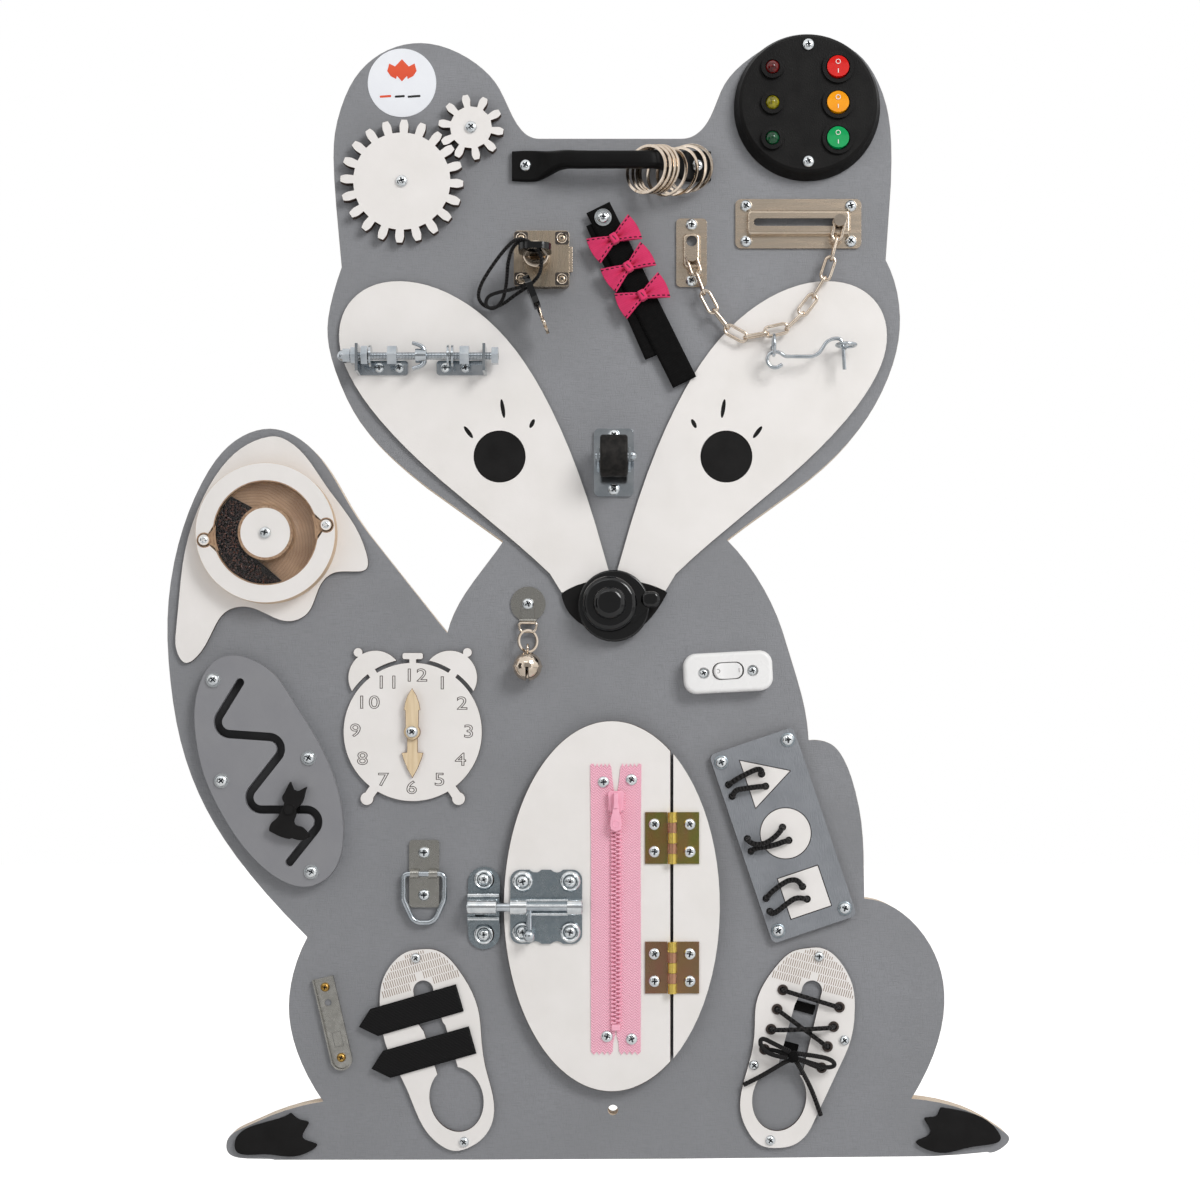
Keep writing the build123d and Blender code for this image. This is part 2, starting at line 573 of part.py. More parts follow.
def key_cord():
    """A black cord threaded through both keys, as two loops."""
    outer = [(-57.9, 572.3, 37.8), (-52, 576.5, 42), (-49, 581.5, 48), (-48.4, 589.6, 56.8),
             (-57.9, 599.1, 57.2), (-66, 601, 54), (-74, 596, 46), (-84, 586, 36), (-92.5, 575, 27.5),
             (-94.5, 566, 23.5), (-87, 559.5, 22.5), (-77, 562.5, 23), (-68.5, 568, 28), (-59, 572, 36.5)]
    inner = [(-52.6, 593.6, 54.3), (-60, 600.9, 53.5), (-68.4, 597.8, 48.4), (-72.6, 588, 40), (-73.5, 578, 32),
             (-75.5, 568, 27), (-79, 561.5, 26.2), (-84.5, 558.5, 26), (-89, 561.5, 26),
             (-87.5, 567.5, 26.2), (-81, 570, 27.5), (-71.5, 571, 31), (-59.2, 572.5, 39)]
    keep("key_cord", cord("key cord, outer loop", outer, key_cord_radius),
         cord("key cord, inner loop", inner, key_cord_radius))


# ------------------------------------------------------------------ strap with ribbon bows
def bow_strap():
    place = Pos(*strap_at) * Rot(0, 0, strap_lean)
    under = Pos(-4, -strap_length * 0.42, strap_rest) * Rot(0, 0, -2.5) * slab(
        0, 0, 0, strap_width, strap_length * 0.75, strap_thickness)
    middle = strap_rest + strap_thickness
    upper = slab(0, -strap_length / 2 + 2, middle, strap_width, strap_length, strap_thickness)
    hole_at = (0, -6)
    upper -= screw_hole(*hole_at, middle, strap_thickness)
    top = middle + strap_thickness
    washer = disc(*hole_at, top, cup_washer_radius, 1.2) - screw_hole(*hole_at, top, 1.2)
    spacer = disc(*hole_at, face, cup_washer_radius, middle - face)
    spacer -= screw_hole(*hole_at, face, middle - face)
    under -= disc(*hole_at, face, cup_washer_radius + 0.3, 10)
    screw = pan_screw(*hole_at, top + 1.2, top + 1.2 - face)
    board_screws.extend([place * washer, place * spacer, place * screw])
    keep("bow_strap", place * upper, place * under)


def ribbon_bows():
    """Three bows, each with two wings and a knot whose back band goes behind the strap."""
    low = strap_rest + 2 * strap_thickness + play
    bows = []
    for along, tilt in ((-23.5, 4), (-45.5, 8), (-67.5, 0)):
        wings = []
        for side in (-1, 1):
            corners = [(side * 2.5, -3.2), (side * 2.5, 3.2), (side * bow_span / 2, bow_height / 2),
                       (side * (bow_span / 2 - 2), 0), (side * bow_span / 2, -bow_height / 2)]
            wings.append(sheet(make_face(Polyline(*corners, close=True)), 0, bow_depth))
        knot = slab(0, 0, 0, 6, 8, bow_depth + 1.5, 1.5)
        bow = Pos(0, along, low) * Rot(0, 0, tilt) * (knot + wings)
        bows.append(bow)
    place = Pos(*strap_at) * Rot(0, 0, strap_lean)
    keep("ribbon_bows", *[place * bow for bow in bows])


# ------------------------------------------------------------------ door chain
def chain_plates():
    x, y = keep_plate_at
    keeper = slab(x, y, face, 21.4, 47.8, chain_plate_thickness, 3)
    keeper += slab(x, y + 1, face, 12, 24, 4.5, 3)
    keeper -= slab(x, y + 1, face - 1, 9, 21, 4, 2)
    keeper -= disc(x, y + 7.5, face - 1, 3.75, 12)
    for place in around(keep_plate_at, [(0, 19.5), (0, -19.5)]):
        keeper -= screw_hole(*place, face, chain_plate_thickness)
        board_screws.append(pan_screw(*place, face + chain_plate_thickness, chain_plate_thickness))
    stud = disc(x, y - 4, face + 1.5, stud_neck, chain_height)
    stud += disc(x, y - 4, face + chain_height + 1.3, stud_head, 1.5)

    x, y = slot_plate_at
    track = slab(x, y, face, slot_plate_length, slot_plate_width, chain_plate_thickness, 4)
    track += slab(x, y, face, slot_length + 9, 17, slot_rise, 3)
    track -= slab(x, y, face - 1, slot_length + 6, 14, slot_rise, 2)
    track -= Pos(x, y, face) * extrude(SlotOverall(slot_length, slot_width), 12)
    rows = around(slot_plate_at, [(-36.6, 12.3), (36.6, 12.3), (-36.6, -12.3), (36.6, -12.3)])
    for place in rows:
        track -= screw_hole(*place, face, chain_plate_thickness)
        board_screws.append(pan_screw(*place, face + chain_plate_thickness, chain_plate_thickness))
    keep("chain_plates", keeper, stud, track)


def chain_stud():
    """The stud that runs in the slotted plate, with its foot behind the slot."""
    x = slot_plate_at[0] + slot_length / 2 - slot_width / 2 - 0.8
    y = slot_plate_at[1]
    low = face + slot_rise - 1 - play - 2
    foot = disc(x, y, low, 4.6, 2)
    neck = disc(x, y, low, slot_width / 2 - play, face + slot_rise + 0.4 - low)
    post = disc(x, y, low, stud_neck, face + chain_height + 2 - low)
    head = disc(x, y, face + chain_height + 1.3, stud_head, 2)
    keep("chain_stud", foot + neck + post + head)


def chain_link(length, width, wire):
    """An oval link in the XY plane with its length along X."""
    half = (length - width) / 2
    radius = (width - wire) / 2
    path = SlotCenterToCenter(2 * half, 2 * radius).face().outer_wire()
    return sweep(Plane(origin=path @ 0, z_dir=path % 0) * Circle(wire / 2), path=path)


def chain_links():
    """A slack chain from the stud to the keep plate: oval links on a sagging curve."""
    sag = Spline((158.1, 622.1), (152.5, 596), (145.5, 578), (134, 560), (121.5, 547), (111.4, 543.6),
                 (102, 541), (92.6, 540), (84.5, 542.5), (76.5, 550), (62.6, 572), (54.3, 597.5))
    count = round(sag.length / (link_length - 2 * link_wire))
    print(f"chain: {count} links, pitch {sag.length / count:.2f}")
    height = face + chain_height
    links = []
    for index in range(count):
        where = (index + 0.5) / count
        point, along = sag @ where, sag % where
        angle = math.degrees(math.atan2(along.Y, along.X))
        link = Rot(90 * (index % 2), 0, 0) * chain_link(link_length, link_width, link_wire)
        links.append(Pos(point.X, point.Y, height) * Rot(0, 0, angle) * link)
    keep("chain_links", *links)


# ------------------------------------------------------------------ cabin hook
def screw_eyes():
    height = face + hook_height
    left = ring((*left_eye_at, height), (1, 0, 0), 7.1, eye_wire)
    left += bar((*left_eye_at, face - 9), (*left_eye_at, height - 7.1), 1.7)
    right = ring((*right_eye_at, height), (0, 1, 0), 6.6, eye_wire)
    right += bar((*right_eye_at, face - 9), (*right_eye_at, height - 6.6), 1.7)
    keep("screw_eyes", left, right)


def cabin_hook():
    height = face + hook_height
    centre = (left_eye_at[0] + 0.9, left_eye_at[1] - 10.0)
    curl = [(centre[0] + curl_radius * math.cos(math.radians(turn)),
             centre[1] + curl_radius * math.sin(math.radians(turn)), height)
            for turn in (-35, -80, -125, -170, -215, -260, -305)]
    shank = [(centre[0] + 6.6, centre[1] + 2.2), (centre[0] + 29, centre[1] + 2.0),
             (right_eye_at[0] - 13.5, right_eye_at[1] + 2.5), (right_eye_at[0] - 8.5, right_eye_at[1] + 4.6),
             (right_eye_at[0] - 3.6, right_eye_at[1] + 4.4), (right_eye_at[0] - 2.0, right_eye_at[1] - 2),
             (right_eye_at[0] - 1.2, right_eye_at[1] - 17)]
    keep("cabin_hook", tube(curl + [(x, y, height) for x, y in shank], hook_wire))


# ------------------------------------------------------------------ threaded rod and wing nut
def rod_and_brackets():
    left, y = rod_at
    z = overlay_top + rod_height - overlay
    rod = bar((left, y, z), (left + rod_length, y, z), rod_radius)
    acorn = hex_nut(left - 1, y, z, 9, 5) + Pos(left - 1, y, z) * Sphere(4)
    nuts = [hex_nut(left + 4.6, y, z, 11, 3.4), hex_nut(left + 11.8, y, z, nut_width, nut_length - 2),
            hex_nut(left + 30, y, z, nut_width, nut_length), hex_nut(left + 80, y, z, nut_width, nut_length),
            hex_nut(left + rod_length - 1, y, z, 11, 4.6)]
    washers = [bar((left + x, y, z), (left + x + 1.4, y, z), 7.5) for x in (17.2, 71.2, 74.2)]
    brackets = []
    for lug, towards in ((left + 9.0, 1), (left + 97.0, -1)):
        middle = lug + towards * bracket_length / 2
        base = slab(middle, y - 6.5, overlay_top, bracket_length, bracket_width, bracket_thickness, 2)
        wall = slab(lug, y - 2.0, overlay_top, bracket_thickness, 19, z - overlay_top + 7.5)
        base += wall
        base -= bar((lug - 5, y, z), (lug + 5, y, z), rod_radius + running)
        for step in (14, 28):
            place = (lug + towards * step, y - 6.5)
            base -= screw_hole(*place, overlay_top, bracket_thickness)
            board_screws.append(pan_screw(*place, overlay_top + bracket_thickness, 5.0, head=3.4))
        brackets.append(base)
    bore = bar((left - 0.5, y, z), (left + rod_length + 10, y, z), rod_radius)
    nuts = [nut - bore for nut in nuts]
    washers = [washer - bore for washer in washers]
    keep("rod_and_brackets", rod + acorn, *nuts, *washers, *brackets)


def wing_nut():
    left, y = rod_at
    z = overlay_top + rod_height - overlay
    start = left + 47.4
    body = bar((start, y, z), (start + wing_length, y, z), 4.4)
    for side in (-1, 1):
        corners = [(1.5, side * 3), (wing_length - 1.5, side * 3), (wing_length, side * wing_span / 2),
                   (wing_length - 4, side * (wing_span / 2 + 0.5))]
        wing = extrude(make_face(Polyline(*corners, close=True)), 0.9, both=True)
        body += Pos(start, y, z) * wing
    keep("wing_nut", body - bar((start - 1, y, z), (start + wing_length + 1, y, z), rod_radius + running))


# ------------------------------------------------------------------ caster
def caster():
    x, y = caster_at
    plate = slab(x, y, face, caster_width, caster_length, caster_plate, 4)
    axle_z = face + axle_height
    inner = wheel_width / 2 + 0.6
    for side in (-1, 1):
        cheek = make_face(Polyline((-9, 0), (9, 0), (5, axle_height + 4), (-5, axle_height + 4), close=True))
        plate += Pos(x + side * (inner + 0.8), y + 2, face) * extrude(Plane.YZ * cheek, 0.8, both=True)
    for place in around(caster_at, [(0, 19), (0, -19)]):
        plate -= screw_hole(*place, face, caster_plate)
        board_screws.append(pan_screw(*place, face + caster_plate, caster_plate))
    reach = inner + 1.6
    plate += bar((x - reach - 1, y + 2, axle_z), (x + reach + 2, y + 2, axle_z), axle_radius)
    plate += Pos(x + reach + 1, y + 2, axle_z) * Sphere(3.4)
    keep("caster_frame", plate)
    wheel = bar((x - wheel_width / 2, y + 2, axle_z), (x + wheel_width / 2, y + 2, axle_z), wheel_radius)
    wheel = fillet(wheel.edges().filter_by(GeomType.CIRCLE), 2.0)
    keep("caster_wheel", wheel - bar((x - 20, y + 2, axle_z), (x + 20, y + 2, axle_z),
                                     axle_radius + running))


# ------------------------------------------------------------------ bicycle bell
def bell():
    x, y = bell_at
    low = overlay_top
    base = disc(x, y, low, bell_base_radius, bell_base_height)
    base = fillet(base.edges().sort_by(Axis.Z)[-1], 1.5)
    dome_at = (x - 3, y + 1)
    dome_low = low + bell_base_height + bell_lever_gap
    post = disc(*dome_at, low + bell_base_height - 1, 4.5, bell_lever_gap + 3)
    dome = disc(*dome_at, dome_low, bell_dome_radius, bell_dome_height * 0.55)
    dome = fillet(dome.edges().sort_by(Axis.Z)[-1], 4.0)
    hump = disc(*dome_at, dome_low, 11.5, bell_dome_height)
    dome += fillet(hump.edges().sort_by(Axis.Z)[-1], 5.0)
    pivot = lever_pivot()
    pin = disc(*pivot, low + bell_base_height - 2, 2.0, bell_lever_gap + 2)
    keep("bell_body", base + pin + post + dome)

    lever_z = low + bell_base_height + 0.4
    arm = disc(*pivot, lever_z, 4.2, bell_lever_thickness)
    knob_at = (x + 25.5, y + 4)
    reach = Vector(*knob_at) - Vector(*pivot)
    middle = ((pivot[0] + knob_at[0]) / 2, (pivot[1] + knob_at[1]) / 2)
    arm += Pos(*middle, lever_z) * Rot(0, 0, math.degrees(math.atan2(reach.Y, reach.X))) * slab(
        0, 0, 0, reach.length, 7, bell_lever_thickness)
    knob = fillet(slab(*knob_at, lever_z, 13, 11, 8, 5).edges().sort_by(Axis.Z)[-1], 2.5)
    arm = arm + knob - disc(*pivot, lever_z - 2, 2.0 + running, 10)
    keep("bell_lever", arm)


def lever_pivot():
    return bell_at[0] + 13.0, bell_at[1] - 8.0


# ------------------------------------------------------------------ seed wheel
def ears(radius, reach, size):
    """The ring with two side ears that both the recess and the window follow."""
    shape = Circle(radius)
    for angle in seed_ear_angles:
        tip = (reach * math.cos(math.radians(angle)), reach * math.sin(math.radians(angle)))
        side = [(radius * math.cos(math.radians(angle + turn)), radius * math.sin(math.radians(angle + turn)))
                for turn in (-17, 17)]
        shape += make_face(Polyline(side[0], tip, side[1], close=True)) + Pos(*tip) * Circle(size)
    return shape


def seed_wheel():
    low = overlay_top + play
    top = low + seed_wheel_thickness
    place = Pos(*seed_wheel_at)
    wheel = disc(0, 0, low, seed_wheel_radius, seed_wheel_thickness)
    trough = disc(0, 0, top - seed_trough_depth, seed_trough_outer, 20)
    trough -= disc(0, 0, 0, seed_trough_inner, 60)
    hub_recess = sheet(ears(seed_trough_outer, seed_ear_reach, 4.6) - Circle(seed_trough_inner), top
                       - seed_window_thickness, 10)
    wheel -= trough + hub_recess
    wheel -= disc(0, 0, 0, axle_radius + running, 60)
    window = ears(seed_trough_outer - 0.2, seed_ear_reach, 4.4) - Circle(seed_trough_inner + 0.2)
    glass = sheet(window, top - seed_window_thickness, seed_window_thickness - 0.2)
    screws = []
    for angle in seed_ear_angles:
        spot = (seed_ear_reach * math.cos(math.radians(angle)), seed_ear_reach * math.sin(math.radians(angle)))
        glass -= disc(*spot, 0, screw_shank + 0.3, 60)
        wheel -= disc(*spot, top - 9, screw_shank + 0.05, 20)
        screws.append(disc(*spot, top - 8.8, screw_shank, 9) + disc(*spot, top - 0.2, 3.75, 2.2))
    keep("seed_wheel", place * wheel, *[place * screw for screw in screws])
    keep("seed_window", place * glass)
    heap = disc(0, 0, top - seed_trough_depth + 0.1, seed_trough_outer - 0.4, seed_depth)
    heap -= disc(0, 0, 0, seed_trough_inner + 0.4, 60)
    fill = make_face(Polyline((-60, 40), (-27, 27), (-8, 17), (-8, -17), (12, -34), (14, -60), (-60, -60),
                              close=True))
    keep("seeds", place * (heap & sheet(fill, 0, 60)))
    board_screws.append(axle_screw(*seed_wheel_at, top + play))


# ------------------------------------------------------------------ maze
def groove(width):
    line = FilletPolyline(*groove_route, radius=8.5)
    tool = trace(line, width)
    return tool + [Pos(*groove_route[end]) * Circle(width / 2) for end in (0, -1)]


def maze():
    panel = sheet(loop(maze_outline), face, maze_thickness)
    panel -= sheet(groove(groove_foot_width), face - 1, maze_lower_layer + 1)
    panel -= sheet(groove(groove_width), face - 1, maze_thickness + 2)
    for place in [(-277.9, 300.7), (-211.6, 246.5), (-272.2, 230.6), (-209.7, 167.3)]:
        panel -= screw_hole(*place, face, maze_thickness)
        board_screws.append(pan_screw(*place, face + maze_thickness + 1, maze_thickness + 1))
        board_screws.append(disc(*place, face + maze_thickness, 5.2, 1.0)
                            - screw_hole(*place, face + maze_thickness, 1))
    keep("maze_panel", panel)

    x, y = figure_at
    top = face + maze_thickness + play
    body = joined([
        [(-3.2, 11.7), (0.6, 19.5)], [(0.6, 19.5), (2.7, 14.2)], [(2.7, 14.2), (5, 13.2), (7.3, 13.4)],
        [(7.3, 13.4), (12.1, 16.1)],
        [(12.1, 16.1), (10.4, 10.4), (9, 5.7), (6.8, 2.7), (4.6, 0.4),
         (4.5, -2.8), (3, -8), (3.6, -10.1), (8.1, -11.8), (11.5, -14.8), (14.1, -18)],
        [(14.1, -18), (11.5, -20.3), (6.8, -20.9), (2.1, -19.5)], [(2.1, -19.5), (0.4, -20.1)],
        [(0.4, -20.1), (-4.3, -19.1), (-10.2, -16.5), (-13.7, -14.6)],
        [(-13.7, -14.6), (-13.5, -11.8), (-12, -8.8), (-8.5, -5.8), (-6, -1.1),
         (-4.3, 2.3), (-3.2, 4.9)], [(-3.2, 4.9), (-4.7, 8.7), (-3.2, 11.7)]])
    figure = Pos(x, y) * sheet(body, top, figure_thickness)
    figure += disc(x, y, face + play, groove_foot_width / 2 - 0.7, maze_lower_layer - 2 * play)
    figure += disc(x, y, face + play, groove_width / 2 - 0.4, maze_thickness + 1)
    figure += disc(x, y, top + figure_thickness, 3.1, 1.6)
    keep("maze_figure", figure)


# ------------------------------------------------------------------ clock
def clock():
    shape = Circle(clock_radius)
    for side in (-1, 1):
        lean = side * 34.5
        dome = Pos(0, clock_bell_radius + 27) * Circle(clock_bell_radius)
        dome -= Circle(clock_radius + clock_bell_gap)
        neck = Pos(0, clock_radius + 1) * Rectangle(6.2, 7)
        cap = Pos(0, 67.4) * Circle(3.2)
        shape += Rot(0, 0, -lean) * (dome + neck + cap)
        foot = Pos(0, -51) * Rectangle(7, 12) + Pos(0, -56.5) * Circle(4.6)
        shape += Rot(0, 0, lean) * foot
    shape += Pos(0, 50.5) * Rectangle(5, 6) + Pos(0, 53.0) * RectangleRounded(14.5, 4.6, 1.6)
    keep("clock_face", Pos(*clock_at) * (sheet(shape, face, clock_plate)
                                         - disc(0, 0, 0, axle_radius + running, 60)))

    hour_low = face + clock_plate + play
    hand_hole = disc(0, 0, 0, axle_radius + running, 60)
    hour = Circle(5.2) + Pos(0, -9) * Rectangle(7.2, 14)
    hour += make_face(Polyline((-7.4, -14.5), (7.4, -14.5), (0, -32), close=True))
    keep("hour_hand", Pos(*clock_at) * (sheet(hour, hour_low, hand_thickness) - hand_hole))
    minute_low = hour_low + hand_thickness + play
    minute = Circle(5.2) + Pos(0, 9) * Rectangle(5.4, 16)
    minute += make_face(Polyline((-4.7, 15.5), (4.7, 15.5), (0, 30.6), close=True))
    keep("minute_hand", Pos(*clock_at) * (sheet(minute, minute_low, hand_thickness) - hand_hole))
    board_screws.append(axle_screw(*clock_at, minute_low + hand_thickness + play))


# ------------------------------------------------------------------ jingle bell, tie-down ring, channel
def steel_plates():
    x, y = jingle_at
    washer = disc(x, y, face, 12.25, 1.2)
    tab = slab(x, y - 4, face + 1.2, 9, 16, 1.2, 2) + slab(x, y - 11.5, face + 1.2, 12, 1.6, 4.2)
    tab += bar((x - 6, y - 11.5, face + 5), (x + 6, y - 11.5, face + 5), 1.0)
    washer, tab = [piece - screw_hole(x, y, face, 3) for piece in (washer, tab)]
    board_screws.append(pan_screw(x, y, face + 2.4, 2.4))

    x, y = tie_ring_at
    plate = slab(x, y, face, tie_plate_width, tie_plate_length, tie_plate_thickness, 2.5)
    for place in around(tie_ring_at, [(0, 14.8), (0, -14.8)]):
        plate -= screw_hole(*place, face, tie_plate_thickness)
        board_screws.append(pan_screw(*place, face + tie_plate_thickness, tie_plate_thickness))
    pivot = tie_ring_pivot()
    for side in (-1, 1):
        clip = bar((x + side * 3.5, y, pivot[2]), (x + side * 9.5, y, pivot[2]), tie_ring_wire + 1.3)
        clip += slab(x + side * 6.5, y, face + 1, 6, 2 * tie_ring_wire + 2.6, tie_ring_wire + 1)
        clip -= bar((x - 20, y, pivot[2]), (x + 20, y, pivot[2]), tie_ring_wire + 0.15)
        plate += clip

    tilt = 13.0
    half = channel_width / 2
    floor = Rectangle(channel_width, channel_length - half) + Pos(
        0, -(channel_length - half) / 2) * Circle(half)
    inside = offset(floor, -channel_wall) + Pos(0, channel_length / 2 - half / 2) * Rectangle(
        channel_width - 2 * channel_wall, 6)
    trough = sheet(floor, 0, channel_height) - sheet(inside, channel_wall, channel_height)
    trough -= slab(0.4, -15, -1, 6.2, 10.5, 4)
    trough -= disc(-0.4, 11.5, -1, 2.4, 9)
    tongue = slab(0.4, -15, 0.1, 5.8, 10.1, 0.8)
    place = Pos(*channel_at, face) * Rot(0, 0, tilt)
    for spot in ((0, 22.5), (0, -28)):
        trough -= screw_hole(*spot, 0, channel_wall)
        board_screws.append(place * pan_screw(*spot, channel_wall, channel_wall, head=3.2))
    keep("steel_plates", washer, tab, plate, place * trough, place * tongue)


def tie_ring_pivot():
    return tie_ring_at[0], tie_ring_at[1], face + tie_plate_thickness + tie_ring_wire + 0.2


def ring_loop():
    """The D ring: a straight leg in the clips and a round bow that hangs below."""
    x, y, z = tie_ring_pivot()
    half, depth = 14.3, 36.0
    path = FilletPolyline((x + half, y, z), (x + half, y - depth / 2, z), (x + 7, y - depth + 2, z),
                          (x - 7, y - depth + 2, z), (x - half, y - depth / 2, z), (x - half, y, z),
                          radius=[3.2, 9, 8, 8, 9, 3.2], close=True)
    section = Plane(origin=path @ 0, z_dir=path % 0) * Circle(tie_ring_wire)
    keep("ring_loop", sweep(section, path=path))


def jingle_bell():
    x, y = jingle_at
    hinge_y, hinge_z = y - 11.5, face + 5
    d_ring = FilletPolyline((x + 6.5, hinge_y - 1.9, hinge_z), (x + 5, hinge_y - 8, hinge_z),
                            (x - 5, hinge_y - 8, hinge_z), (x - 6.5, hinge_y - 1.9, hinge_z),
                            radius=[1.5, 2.5, 2.5, 1.5], close=True)
    hook_ring = sweep(Plane(origin=d_ring @ 0, z_dir=d_ring % 0) * Circle(0.9), path=d_ring)
    split = Cylinder(8.2, 1.6) - Cylinder(6.8, 4)
    split = Pos(x, hinge_y - 14.5, hinge_z + 1.2) * Rot(0, 35, 0) * split
    centre = (x, y - 44.0, face + jingle_radius + 0.6)
    ball = Pos(*centre) * (Sphere(jingle_radius) - Sphere(jingle_radius - 0.8))
    ball -= Pos(*centre) * Box(2.2, 30, 30) & Pos(centre[0], centre[1] - 9, centre[2]) * Box(40, 18, 40)
    ball += Pos(*centre) * Rot(90, 0, 0) * (Cylinder(jingle_radius + 0.6, 1.2) - Cylinder(9.6, 3))
    eye = ring((centre[0], centre[1] + jingle_radius + 2.4, centre[2] - 3), (1, 0, 0), 2.8, 0.9)
    pellet = Pos(centre[0], centre[1] - 5.6, centre[2]) * Sphere(3.2)
    keep("jingle_bell", hook_ring, split, ball + eye, pellet)


# ------------------------------------------------------------------ cord switch
def cord_switch():
    place = Pos(*switch_at, face) * Rot(0, 0, 3)
    case = slab(0, 0, 0, switch_length, switch_width, switch_height, 9)
    case = fillet(case.edges().group_by(Axis.Z)[-1], 3.0)
    case -= slab(0, 0.8, 1.5, switch_rocker_length + 2, switch_rocker_width + 1, 20, 5.8)
    for x in (-17, 17):
        case -= disc(x, 0, switch_height - 2.5, 3.9, 9)
        case -= screw_hole(x, 0, 0, switch_height)
        board_screws.append(place * pan_screw(x, 0, switch_height - 2.5, switch_height - 2.5, head=3.4))
    keep("cord_switch_case", place * case)
    rocker = slab(0, 0.8, -7, switch_rocker_length, switch_rocker_width, 9, 5.3)
    rocker = fillet(rocker.edges().group_by(Axis.Z)[-1], 1.5)
    rocker -= Pos(0, 0, 2 + 39) * Rot(90, 0, 0) * Cylinder(40, 30)
    keep("cord_switch_rocker", place * Pos(0, 0, switch_height - 0.5) * Rot(0, 6, 0) * rocker)


# ------------------------------------------------------------------ lacing panel
def lacing_shape_outlines(grow):
    """The triangle, the disc and the square let into the panel, about its centre and not yet turned."""
    corners = [turned((0, 0), -lacing_turn, (x - lacing_at[0], y - lacing_at[1])) for x, y in lacing_triangle]
    triangle = make_face(Polyline(*corners, close=True))
    circle = Pos(*turned((0, 0), -lacing_turn, (1.8, 1.4))) * Circle(lacing_circle_radius)
    square = Pos(*turned((0, 0), -lacing_turn, (14.9, -39.7))) * Rectangle(lacing_square, lacing_square)
    shapes = [triangle, circle, square]
    return [offset(piece, grow) for piece in shapes] if grow else shapes


def lacing():
    place = Pos(*lacing_at, face) * Rot(0, 0, lacing_turn)
    panel = RectangleRounded(lacing_width, lacing_length, 4)
    for outline in lacing_shape_outlines(0.5):
        panel -= outline
    panel = place * sheet(panel, 0, lacing_thickness)
    shapes = [place * sheet(outline, 0, lacing_thickness) for outline in lacing_shape_outlines(0)]
    for hole in panel_holes + shape_holes:
        tool = disc(*hole, face - 1, lacing_hole_radius, lacing_thickness + 2)
        panel -= tool
        shapes = [shape - tool for shape in shapes]
    for place_on_panel in [(-24.5, 62), (24.5, 62), (24.5, -62), (-24.5, -62)]:
        spot = turned(lacing_at, lacing_turn, place_on_panel)
        panel -= screw_hole(*spot, face, lacing_thickness)
        board_screws.append(pan_screw(*spot, face + lacing_thickness, lacing_thickness))
    keep("lacing_panel", panel)
    keep("lacing_shapes", *shapes)


def lacing_cords():
    """Short arches of cord from a hole in the panel to a hole in a shape."""
    low, high = face + 1, face + lacing_thickness + 3.4
    pairs = [(0, 0), (1, 1), (2, 3), (3, 2), (4, 4), (5, 5)]
    arches = []
    for order, (start, end) in enumerate(pairs):
        a, b = panel_holes[start], shape_holes[end]
        lift = high + (3.6 if order == 3 else 0)
        over = [(*between(a, b, 0.14), lift), (*between(a, b, 0.86), lift)]
        arches.append(tube([(*a, low), (*a, lift - 1.6), *over, (*b, lift - 1.6), (*b, low)],
                           lacing_cord_radius))
    keep("lacing_cord", *arches)


# ------------------------------------------------------------------ shoe straps and lace
def shoe_straps():
    """Two satin straps fastened along one line at the shoe's right edge."""
    straps = []
    for right, left_end in (((-106.9, 79.1), (-177.3, 58.8)), ((-98.0, 49.7), (-168.6, 29.6))):
        along = Vector(*right) - Vector(*left_end)
        angle = math.degrees(math.atan2(along.Y, along.X))
        half = shoe_strap_width / 2
        outline = make_face(Polyline((0, -half), (0, half), (-along.length + 11, half), (-along.length, 0),
                                     (-along.length + 11, -half), close=True))
        straps.append(Pos(*right, overlay_top + play) * Rot(0, 0, angle)
                      * sheet(outline, 0, shoe_strap_thickness))
    keep("shoe_straps", *straps)


def shoe_lace():
    """One lace: three crossings between the eyelets, then a bow with two loops and two ends."""
    low = face + 0.5
    rest = overlay_top + eyelet_height + lace_radius + 0.3
    runs = []
    for left, right, lift in [(0, 4, 0.0), (1, 6, 0.0), (2, 5, 4.4)]:
        a, b = eyelet_places[left], eyelet_places[right]
        over = []
        if lift:
            over = [(*between(a, b, 0.22), rest + lift), (*between(a, b, 0.78), rest + lift)]
        runs.append(tube([(*a, low), (*a, rest + lift / 4), *over, (*b, rest + lift / 4), (*b, low)],
                         lace_radius))
    bow = [
        [(105.8, 43.0, low), (105.8, 43.0, rest + 0.6), (112, 43.2, rest + 2.4), (118, 41.5, rest + 4.4),
         (124, 40, rest + 5.8)],
        [(145.7, 30.1, low), (145.7, 30.1, rest + 0.6), (139, 32.5, rest + 2.4), (132, 36, rest + 4.4),
         (126, 39.2, rest + 5.8)],
        [(123, 42.5, rest + 7), (112, 48, rest + 6), (103, 52.5, rest + 4.6), (102, 46.5, rest + 4.4),
         (110, 39.5, rest + 5.2), (121, 38.5, rest + 7)],
        [(127, 41.5, rest + 7), (139, 40, rest + 6.4), (151, 37.5, rest + 5.6), (155, 33, rest + 5),
         (149, 31, rest + 5.4), (137, 35, rest + 6.4), (128, 37.8, rest + 7)],
        [(122.6, 36.5, rest + 6.6), (113, 31, rest + 2.4), (102, 24, rest + 0.8), (91, 18.5, rest - 0.4)],
        [(127.5, 35.8, rest + 6.4), (133, 26, rest + 2.4), (140, 12, rest + 0.6), (145, -3, rest - 1.4)],
    ]
    knot = fillet(slab(125, 39.2, rest + 3.6, 6.5, 8, 6.5, 2.5).edges().group_by(Axis.Z)[-1], 2)
    keep("shoe_lace", *runs, knot + [tube(points, lace_radius) for points in bow])


